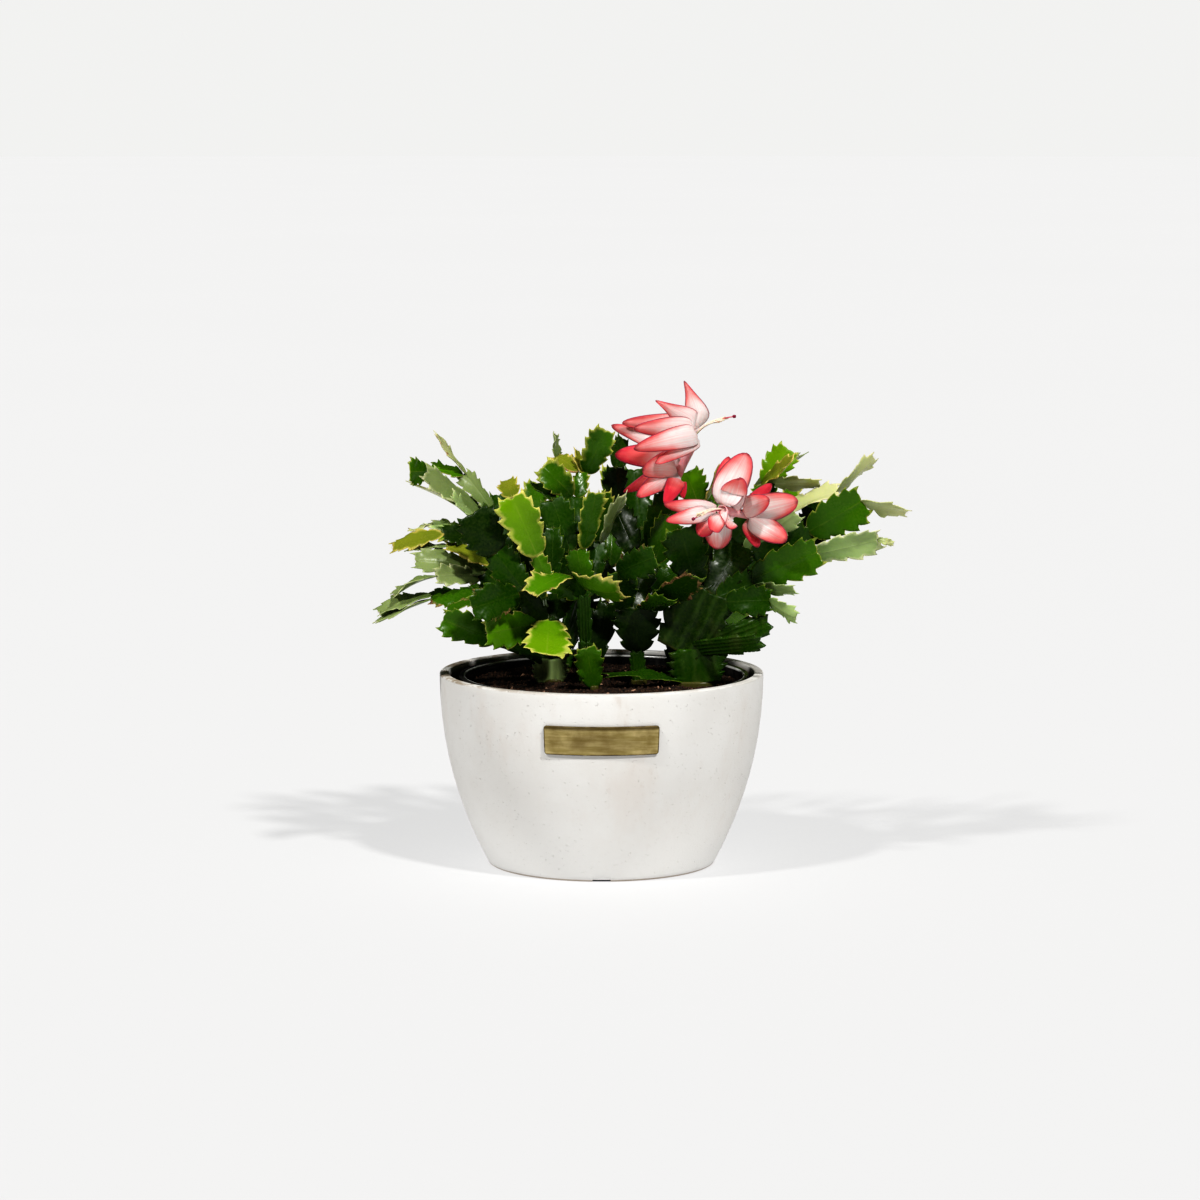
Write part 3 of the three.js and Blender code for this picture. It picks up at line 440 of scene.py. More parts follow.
def make_nursery_pot():
    bottom = PLANTER_FLOOR + 0.3
    top = NURSERY["rim height"]
    lip = top - NURSERY["rim drop"]
    inside = bottom + NURSERY["floor"]
    wall = NURSERY["wall"]
    rim = NURSERY["rim radius"]
    mouth = nursery_radius(top) - wall
    profile = [(0, bottom), (nursery_radius(bottom) - 0.8, bottom), (nursery_radius(bottom), bottom + 0.8)]
    profile += [(nursery_radius(z), z) for z in (40, 70, lip - 0.2)]
    profile += [(rim - 1.0, lip), (rim - 0.5, lip + 0.3), (rim - 0.3, lip + 1.2), (rim - 0.2, top - 2.6)]
    profile += arc((rim - 1.1, top - 1.1), 1.1, 0, 90, 6)
    profile += [(rim - 1.7, top - 0.16), (rim - 2.3, top - 0.34), (mouth + 0.5, top - 0.4)]
    profile += [(mouth + 0.12, top - 0.7), (mouth, top - 1.3), (mouth - 0.25, lip + 1)]
    profile += [(nursery_radius(z) - wall, z) for z in (70, 40)]
    floor_edge = nursery_radius(inside) - wall
    profile += [(floor_edge, inside + 1), (floor_edge - 1, inside), (0, inside)]
    pot = turned("grower_pot", profile, even_turns(120), shift=(NURSERY_SHIFT, 0))
    drills = bmesh.new()
    for angle in even_turns(DRAIN["holes"]):
        at = (DRAIN["ring"] * math.cos(angle) + NURSERY_SHIFT, DRAIN["ring"] * math.sin(angle), bottom + 1)
        radius, depth = DRAIN["radius"] * MM, DRAIN["depth"] * MM
        placed = Matrix.Translation(Vector(at) * MM)
        bmesh.ops.create_cone(drills, cap_ends=True, segments=20, radius1=radius, radius2=radius, depth=depth,
                              matrix=placed)
    drill = finished("drain_drills", drills)
    cut = pot.modifiers.new("drain holes", "BOOLEAN")
    cut.object = drill
    cut.solver = "EXACT"
    settle(pot)
    bpy.data.objects.remove(drill)
    drilled = bmesh.new()
    drilled.from_mesh(pot.data)
    bmesh.ops.remove_doubles(drilled, verts=drilled.verts, dist=0.01 * MM)
    drilled.to_mesh(pot.data)
    drilled.free()
    return pot


def settle(piece):
    """The piece as its modifiers leave it, as one plain mesh with no modifier."""
    shown = piece.evaluated_get(bpy.context.evaluated_depsgraph_get())
    mesh = bpy.data.meshes.new_from_object(shown)
    piece.modifiers.clear()
    piece.data = mesh
    mesh.name = piece.name
    for face in mesh.polygons:
        face.use_smooth = True
    return piece


def black_plastic():
    finish = Finish("black pot plastic", Specular_IOR_Level=0.5)
    dust = finish.mottle(110, 0.35, 0.15, 6.0)
    sockets = {"Vector": finish.place, "Scale": 160.0, "Distortion": 0.4}
    rings = made(finish.tree, "ShaderNodeTexWave", sockets, output=1, bands_direction="Z")
    colour = (dust * 0.35).pick(paint(20, 20, 20), paint(66, 60, 54))
    scratches = finish.noise(500, 5.0, place=finish.place * (1.0, 1.0, 0.15))
    x, y, z = finish.place.parts()
    from_axis = ((x - NURSERY_SHIFT * MM).power(2.0) + y.power(2.0)).power(0.5)
    rim_top, mouth = NURSERY["rim height"] * MM, NURSERY["mouth"] * MM
    # Painted highlight: a thin pale line along the inner edge of the rolled rim's top, where it catches the
    # light.
    edge_band = z.rise(rim_top - 0.0016, rim_top - 0.001) * finish.mottle(40, 0.8, 0.3)
    edge_band = edge_band * from_axis.rise(mouth - 0.0006, mouth - 0.0001).inverse()
    colour = (edge_band * 0.9).pick(colour, paint(214, 214, 211))
    rough = (dust + scratches * 0.4).rise(0.1, 1.2, 0.2, 0.55)
    return finish.done(colour, rough, rings * 0.12 + scratches * 0.25, 0.00015)


dress(make_nursery_pot(), "nursery_plastic", "nursery_pot", material=black_plastic())


# SOIL
# Damp dark peat mix fills the nursery pot, mounded a little towards its middle. Crumbs of peat lie strewn all
# over its top, with a few lighter chips of bark among them.

SOIL_LEVEL = 101
SOIL_MOUND = 1.2
SOIL_CLODS = 0.5
SOIL_ROUGHNESS = 0.9
SOIL_RINGS = 34
SOIL_SIDES = 110
SOIL_CLEARANCE = 0.6
CRUMBS = {"per square metre": 190000, "smallest": 0.35, "largest": 1.25, "shape": (1.0, 0.85, 0.7),
          "shape seed": 5, "seed": 3}
CHIPS = {"per square metre": 9000, "smallest": 0.7, "largest": 1.9, "shape": (1.3, 0.7, 0.3),
         "shape seed": 9, "seed": 8}
FULL_TURN = 6.28


def soil_height(x, y):
    """How far the soil's top lies above its level: a mound with clods and small lumps on it."""
    edge = nursery_radius(SOIL_LEVEL)
    mound = SOIL_MOUND * (1 - (x * x + y * y) / (edge * edge))
    clods = math.sin(0.31 * x + 1.3) * math.cos(0.27 * y) + 0.6 * math.sin(0.53 * y + 0.2 * x)
    lumps = noise.fractal(Vector((x, y, 3.0)) * 0.22, 0.7, 2.1, 4)
    return mound + SOIL_CLODS * clods + SOIL_ROUGHNESS * lumps


def make_soil():
    floor = PLANTER_FLOOR + NURSERY["floor"] + SOIL_CLEARANCE
    shrink = NURSERY["wall"] + SOIL_CLEARANCE
    turns = even_turns(SOIL_SIDES)
    foot = nursery_radius(floor) - shrink
    rows = [[(foot * math.cos(a) + NURSERY_SHIFT, foot * math.sin(a), floor) for a in turns]]
    for i in range(SOIL_RINGS):
        radius = (nursery_radius(SOIL_LEVEL) - shrink) * (1 - i / SOIL_RINGS)
        ring = [(radius * math.cos(a), radius * math.sin(a)) for a in turns]
        rows.append([(x + NURSERY_SHIFT, y, SOIL_LEVEL + soil_height(x, y)) for x, y in ring])
    form = bmesh.new()
    rings = [[form.verts.new(Vector(at) * MM) for at in row] for row in rows]
    skin(form, rings)
    for ring, z in ((rings[0], floor), (rings[-1], SOIL_LEVEL + soil_height(0, 0))):
        skin(form, [ring, [form.verts.new(Vector((NURSERY_SHIFT, 0, z)) * MM)]])
    bmesh.ops.recalc_face_normals(form, faces=form.faces)
    return finished("peat", form)


def lump(name, shape, seed):
    """A small broken lump of twenty faces."""
    form = bmesh.new()
    bmesh.ops.create_icosphere(form, subdivisions=1, radius=1.0)
    dice = random.Random(seed)
    for point in form.verts:
        point.co *= dice.uniform(0.65, 1.15)
        point.co = Vector(a * b for a, b in zip(point.co, shape))
    return finished(name, form)


def strewing_tree():
    """Lumps strewn at random over an upward surface, each turned and sized by chance, half sunk in it."""
    inputs = {"Geometry": "Geometry", "Lump": "Object", "Per square metre": 10000.0, "Smallest": 0.001,
              "Largest": 0.002, "Seed": 1, "Finish": "Material"}
    tree, given, end = new_tree("strewn lumps", inputs)

    def by_chance(kind, output, limits):
        sockets = {**limits, "Seed": given["Seed"]}
        return made(tree, "FunctionNodeRandomValue", sockets, output, data_type=kind)

    upward = made(tree, "GeometryNodeInputNormal").parts()[2]
    faces_up = made(tree, "FunctionNodeCompare", {0: upward, 1: 0.5}, operation="GREATER_THAN")
    sockets = {"Mesh": given["Geometry"], "Selection": faces_up, "Density": given["Per square metre"],
               "Seed": given["Seed"]}
    spots = made(tree, "GeometryNodeDistributePointsOnFaces", sockets, output="Points")
    sockets = {"Geometry": spots, "Name": "shade", "Value": by_chance("FLOAT", 1, {2: 0.0, 3: 1.0})}
    marked = made(tree, "GeometryNodeStoreNamedAttribute", sockets, data_type="FLOAT", domain="POINT")
    shape = made(tree, "GeometryNodeObjectInfo", {"Object": given["Lump"]}, output="Geometry")
    sockets = {"Points": marked, "Instance": shape,
               "Rotation": by_chance("FLOAT_VECTOR", 0, {"Max": (FULL_TURN,) * 3}),
               "Scale": by_chance("FLOAT", 1, {2: given["Smallest"], 3: given["Largest"]})}
    strewn = made(tree, "GeometryNodeInstanceOnPoints", sockets)
    real = made(tree, "GeometryNodeRealizeInstances", {0: strewn})
    feed(end, made(tree, "GeometryNodeSetMaterial", {"Geometry": real, "Material": given["Finish"]}))
    return tree


def grown(name, base, tree, **values):
    """The piece that a tree grows on a base mesh, as a plain mesh."""
    piece = stand(name, base)
    modifier = piece.modifiers.new(tree.name, "NODES")
    modifier.node_group = tree
    identifiers = {item.name: item.identifier for item in tree.interface.items_tree if item.in_out == "INPUT"}
    for label, value in values.items():
        modifier[identifiers[label.replace("_", " ")]] = value
    return settle(piece)


def peat_brown():
    finish = Finish("damp peat", Specular_IOR_Level=0.3)
    lumps = finish.mottle(260, 0.5, 0.15, 6.0)
    fibres = finish.mottle(700, 0.3, 0.08, 3.0, place=finish.place * (1.0, 0.4, 1.0))
    shade = finish.value("shade")
    colour = lumps.pick(paint(26, 19, 14), paint(58, 42, 31))
    colour = shade.rise(0.55, 1.0, 0.0, 0.7).pick(colour, paint(84, 60, 44))
    colour = (fibres * 0.5).pick(colour, paint(108, 80, 58))
    height = lumps + finish.noise(1400, 3.0) * 0.4
    return finish.done(colour, lumps.rise(0.0, 1.0, 0.7, 0.95), height, 0.0006)


def bark_chip():
    finish = Finish("bark chip")
    grain = finish.noise(900, 4.0, place=finish.place * (1.0, 1.0, 3.0))
    shade = finish.value("shade")
    colour = shade.pick(paint(120, 84, 62), paint(188, 150, 124))
    colour = grain.rise(0.45, 0.7).pick(colour, paint(92, 62, 44))
    return finish.done(colour, grain.rise(0.2, 0.8, 0.75, 0.95), grain, 0.0004)


PEAT = peat_brown()
peat = make_soil()
strewing = strewing_tree()
litter = []
for name, sizes, finish in (("peat_crumbs", CRUMBS, PEAT), ("bark_chips", CHIPS, bark_chip())):
    shape = lump(name + " lump", sizes["shape"], sizes["shape seed"])
    litter.append(grown(name, peat.data.copy(), strewing, Lump=shape, Seed=sizes["seed"], Finish=finish,
                        Per_square_metre=sizes["per square metre"], Smallest=sizes["smallest"] * MM,
                        Largest=sizes["largest"] * MM))
    bpy.data.objects.remove(shape)
dress(peat, "soil", "soil", material=PEAT)
for piece in litter:
    dress(piece, "soil", "soil")


# LEAFY STEMS
# A stem is a chain of flat fleshy segments that fork from each blunt tip. A young segment has a thin waxy
# blade, hooked teeth, a soft midrib and a yellow rim. The oldest are thick, ribbed and woody, and root in the
# soil. Each one grows out of the eye at the tip of the one before it, where a few short bristles stand.

# Where the rows below are seen from, how deep a foot sinks into its eye and where the eyes lie, how thick and
# how keeled a segment is, how far chance moves its teeth, and how fine its mesh is. Sizes in millimetres.
SEEN_FROM = Vector((0, -2200, 425))
SINK = 0.7
EYE = {"along": 0.95, "spread": 0.55}
MARGIN_HALF = 0.36
RIB_HALF = 0.8
WOOD = {"share": 0.25, "most": 2.9}
KEEL = 0.09
BROAD, NARROW, WOODY = range(3)
NARROW_BELOW = 14
TOOTH_CHANCE = {"slip": 0.07, "shortest": 0.94, "reach": 0.14}
ROOT = {"collar": 3.5, "depth": 16, "sides": 28}
TYPICAL = {"half": 8.5, "length": 38}
TOOTH_FADE = 5
RIDGE_HALF = 0.8
SWELL = {"blade": 0.62, "power": 0.7, "ridge": 0.38, "woody power": 2.4}
MARGIN_INSETS = [0.12, 0.42, 1.0]
MARGIN_ROUND = 0.45
BLADE_STEP = 2.1
BRISTLE = {"root": 0.012, "lean": 0.12, "rise": 0.045}

# Each span of a margin: where it ends, the point that it bends towards on its way there, how many steps it
# takes, and how far chance may move its end. Across in half widths, and along as a share of the length. The
# short spans of two steps lead back into a notch.
BROAD_LEAF = {
    "foot": (0.1, 0.0),
    "spans": [
        ((0.8, 0.25), (0.66, 0.05), 6, 0.3),
        ((0.66, 0.272), (0.71, 0.245), 2, 0.3),
        ((1.0, 0.47), (0.89, 0.34), 5, 1.0),
        ((0.8, 0.493), (0.87, 0.46), 2, 1.0),
        ((1.1, 0.69), (1.0, 0.56), 5, 1.0),
        ((0.84, 0.712), (0.93, 0.68), 2, 1.0),
        ((1.03, 0.885), (0.98, 0.78), 4, 0.8),
        ((0.73, 0.882), (0.84, 0.855), 2, 0.8),
        ((0.66, 1.04), (0.76, 0.95), 4, 0.0),
        ((0.42, 0.965), (0.52, 0.955), 2, 0.0),
        ((0.0, 0.95), (0.22, 0.985), 3, 0.0),
    ],
    "woody": False,
}
NARROW_LEAF = {
    "foot": (0.14, 0.0),
    "spans": [
        ((0.94, 0.31), (0.72, 0.07), 6, 0.3),
        ((0.72, 0.332), (0.8, 0.3), 2, 0.5),
        ((1.08, 0.6), (1.0, 0.45), 5, 1.0),
        ((0.78, 0.622), (0.89, 0.588), 2, 1.0),
        ((1.03, 0.855), (0.99, 0.73), 4, 0.6),
        ((0.68, 0.856), (0.8, 0.83), 2, 0.6),
        ((0.62, 1.04), (0.72, 0.94), 4, 0.0),
        ((0.38, 0.965), (0.5, 0.95), 2, 0.0),
        ((0.0, 0.95), (0.2, 0.98), 3, 0.0),
    ],
    "woody": False,
}
WOODY_LEAF = {
    "foot": (0.72, 0.0),
    "spans": [
        ((0.93, 0.25), (0.76, 0.1), 5, 0.0),
        ((0.78, 0.272), (0.86, 0.25), 2, 0.0),
        ((1.03, 0.48), (0.95, 0.36), 5, 0.6),
        ((0.84, 0.5), (0.92, 0.47), 2, 0.6),
        ((1.04, 0.72), (0.99, 0.6), 5, 1.0),
        ((0.8, 0.738), (0.9, 0.708), 2, 1.0),
        ((0.9, 0.935), (0.9, 0.83), 4, 0.4),
        ((0.66, 0.938), (0.76, 0.92), 2, 0.0),
        ((0.52, 1.01), (0.6, 0.98), 3, 0.0),
        ((0.0, 0.95), (0.3, 0.975), 4, 0.0),
    ],
    "woody": True,
}


def bent(start, toward, end, share):
    """A point of the way from start to end that bends towards a third point."""
    rest = 1 - share
    return start * rest * rest + toward * 2 * share * rest + end * share * share


def margin_points(kind):
    """The points of one margin, each with how far chance may move it."""
    at = Vector(kind["foot"])
    points = [(at, 0.0)]
    loose = 0.0
    for end, toward, steps, moved in kind["spans"]:
        end, toward = Vector(end), Vector(toward)
        for i in range(1, steps + 1):
            share = i / steps
            points.append((bent(at, toward, end, share), loose + (moved - loose) * share))
        at, loose = end, moved
    return points


def nearest_margin(at, outline):
    """How far a point lies inside an outline, in millimetres, and which of its points is the nearest."""
    nearest, index = 99.0, 0
    for i, (a, b) in enumerate(zip(outline, outline[1:] + outline[:1])):
        onto, share = geometry.intersect_point_line(at, a, b)
        onto = a if share < 0 else b if share > 1 else onto.to_2d()
        if (at - onto).length < nearest:
            nearest, index = (at - onto).length, i
    return nearest, index


def inside(at, outline):
    """Whether a point lies inside an outline."""
    crossings = 0
    for a, b in zip(outline, outline[1:] + outline[:1]):
        if (a.y > at.y) != (b.y > at.y) and at.x < a.x + (b.x - a.x) * (at.y - a.y) / (b.y - a.y):
            crossings += 1
    return crossings % 2 == 1


def blade_points(outline):
    """Points inside an outline: rings that follow it at small insets, an even field, and a close midrib."""
    spots = []

    def add(at, least, apart=True):
        if inside(at, outline) and nearest_margin(at, outline)[0] > least:
            if not apart or all((at - other).length > least * 0.9 for other in spots):
                spots.append(at)

    for inset in MARGIN_INSETS:
        for a, b in zip(outline, outline[1:] + outline[:1]):
            side = Vector((a.y - b.y, b.x - a.x)).normalized()
            for share in (0.25, 0.75):
                add(a.lerp(b, share) + side * inset, inset * 0.9)
    height = BLADE_STEP * 0.87
    for row in range(int(TYPICAL["length"] * 1.03 / height)):
        for column in range(-5, 6):
            add(Vector(((column + 0.5 * (row % 2)) * BLADE_STEP, (row + 0.5) * height)), BLADE_STEP * 0.62)
    for row in range(int(TYPICAL["length"] * 0.94 / BLADE_STEP)):
        for x in (-0.9, 0, 0.9):
            add(Vector((x, (row + 0.5) * BLADE_STEP)), 0.3, apart=False)
    return spots


def leaf_pattern(name, kind):
    """A flat segment in shares of its width and length, with what the growing tree reads at each point."""
    form = bmesh.new()
    vectors = {label: form.verts.layers.float_vector.new(label) for label in ("blade", "tooth")}
    labels = ("swell", "face", "inset", "bristle", "stick")
    layers = {label: form.verts.layers.float.new(label) for label in labels}
    size = Vector((TYPICAL["half"], TYPICAL["length"]))
    margin = margin_points(kind)
    margin += [(Vector((-at.x, at.y)), loose) for at, loose in reversed(margin[:-1])]
    outline = [at * size for at, _ in margin]

    def point(across, along, face, **marks):
        at = form.verts.new((across, along, 0.02 * face))
        inset, index = nearest_margin(Vector((across, along)) * size, outline)
        loose = margin[index][1] * max(0.0, 1 - inset / TOOTH_FADE)
        ridge = SWELL["ridge"] * math.exp(-(across * TYPICAL["half"] / RIDGE_HALF) ** 2)
        blade = SWELL["blade"] * min(1.0, inset / TYPICAL["half"]) ** SWELL["power"] + ridge
        at[vectors["blade"]] = (across, along, math.sqrt(1 - (1 - min(1.0, inset / MARGIN_ROUND)) ** 2))
        at[vectors["tooth"]] = (across * loose, loose, 0)
        swell = 1 - abs(across) ** SWELL["woody power"] if kind["woody"] else blade
        marks.update(swell=swell, face=face, inset=inset)
        for label, value in marks.items():
            at[layers[label]] = value
        return at

    border = [(i, (i + 1) % len(outline)) for i in range(len(outline))]
    spots, _, triangles, *_ = geometry.delaunay_2d_cdt(outline + blade_points(outline), border, [], 1, 1e-4)
    flat = [(spot.x / size.x, spot.y / size.y) for spot in spots]
    on_margin = [nearest_margin(spot, outline)[0] < 1e-3 for spot in spots]
    front = [point(x, y, 0 if edge else 1) for (x, y), edge in zip(flat, on_margin)]
    back = [at if edge else point(x, y, -1) for (x, y), edge, at in zip(flat, on_margin, front)]
    for corners in triangles:
        form.faces.new([front[i] for i in corners])
        if not all(on_margin[i] for i in corners):
            form.faces.new([back[i] for i in reversed(corners)])
    if not kind["woody"]:
        add_bristles(form, kind, point)
    bmesh.ops.recalc_face_normals(form, faces=form.faces)
    return finished(name, form)


def add_bristles(form, kind, point):
    """Short straw bristles at the eye of the tip and in each notch."""
    notches = [end for end, _, steps, _ in kind["spans"] if steps == 2 and end[1] < 0.9]
    spots = [(0.0, 0.94, 0.1, 1.0), (0.1, 0.945, 0.5, 0.8), (-0.12, 0.945, -0.4, 0.9)]
    spots += [(hand * x * 0.98, y, hand, 0.7) for x, y in notches for hand in (1, -1)]
    for across, along, lean, reach in spots:
        foot = [point(across + BRISTLE["root"] * math.cos(turn), along, 0.3 * math.sin(turn), bristle=1.0)
                for turn in even_turns(3)]
        top = (across + BRISTLE["lean"] * lean, along + BRISTLE["rise"] * reach)
        skin(form, [foot, [point(*top, 0, bristle=1.0, stick=reach)]])
        form.faces.new(foot[::-1])


def chances(seed):
    """The plant's small chances: the same run of shares from 0 to 1 for the same seed."""
    factor, limit = 16807, 2147483647
    state = seed
    while True:
        state = state * factor % limit
        yield state / limit


def seen_at(x, z, depth):
    """A place given as the front view shows it, moved along its line of sight to its own depth."""
    reach = 1 + depth / -SEEN_FROM.y
    return Vector((x * reach, depth, SEEN_FROM.z + (z - SEEN_FROM.z) * reach))


def segment_frame(foot, tip, width, turn, arch, thick):
    """A segment from its foot to its tip, with the lines along it, across it and out of its face."""
    along = tip - foot
    length = along.length
    along.normalize()
    sight = SEEN_FROM - (foot + tip) / 2
    facing = (sight - along * sight.dot(along)).normalized()
    facing.rotate(Quaternion(along, math.radians(turn)))
    across = -facing.cross(along)
    return {"foot": foot, "along": along, "facing": facing, "across": across, "length": length,
            "half": width / 2, "arch": arch, "thick": thick}


def on_segment(segment, across, along):
    """A point on a segment's face: across it in half widths, along it as a share of its length."""
    lift = segment["arch"] * 4 * along * (1 - along) + KEEL * segment["half"] * abs(across)
    at = segment["foot"] + segment["along"] * (along * segment["length"])
    return at + segment["across"] * (across * segment["half"]) + segment["facing"] * lift


# Each tone's face colour and its rim's colour. The tones hold painted light as well as each segment's own
# colour:
# lit and shining leaves get the lighter tones, and leaves in shade inside the plant the darker ones.
TONES = {
    "bright": (paint(116, 156, 10), paint(224, 214, 124)),
    "fresh": (paint(88, 134, 6), paint(224, 208, 128)),
    "green": (paint(64, 106, 4), paint(198, 196, 100)),
    "dark": (paint(37, 73, 0), paint(124, 142, 52)),
    "deep": (paint(22, 48, 0), paint(72, 96, 28)),
    "olive": (paint(136, 142, 44), paint(218, 198, 114)),
    "ash": (paint(138, 152, 100), paint(206, 210, 164)),
    "straw": (paint(204, 206, 152), paint(226, 220, 176)),
    "pale": (paint(168, 188, 128), paint(224, 226, 182)),
}

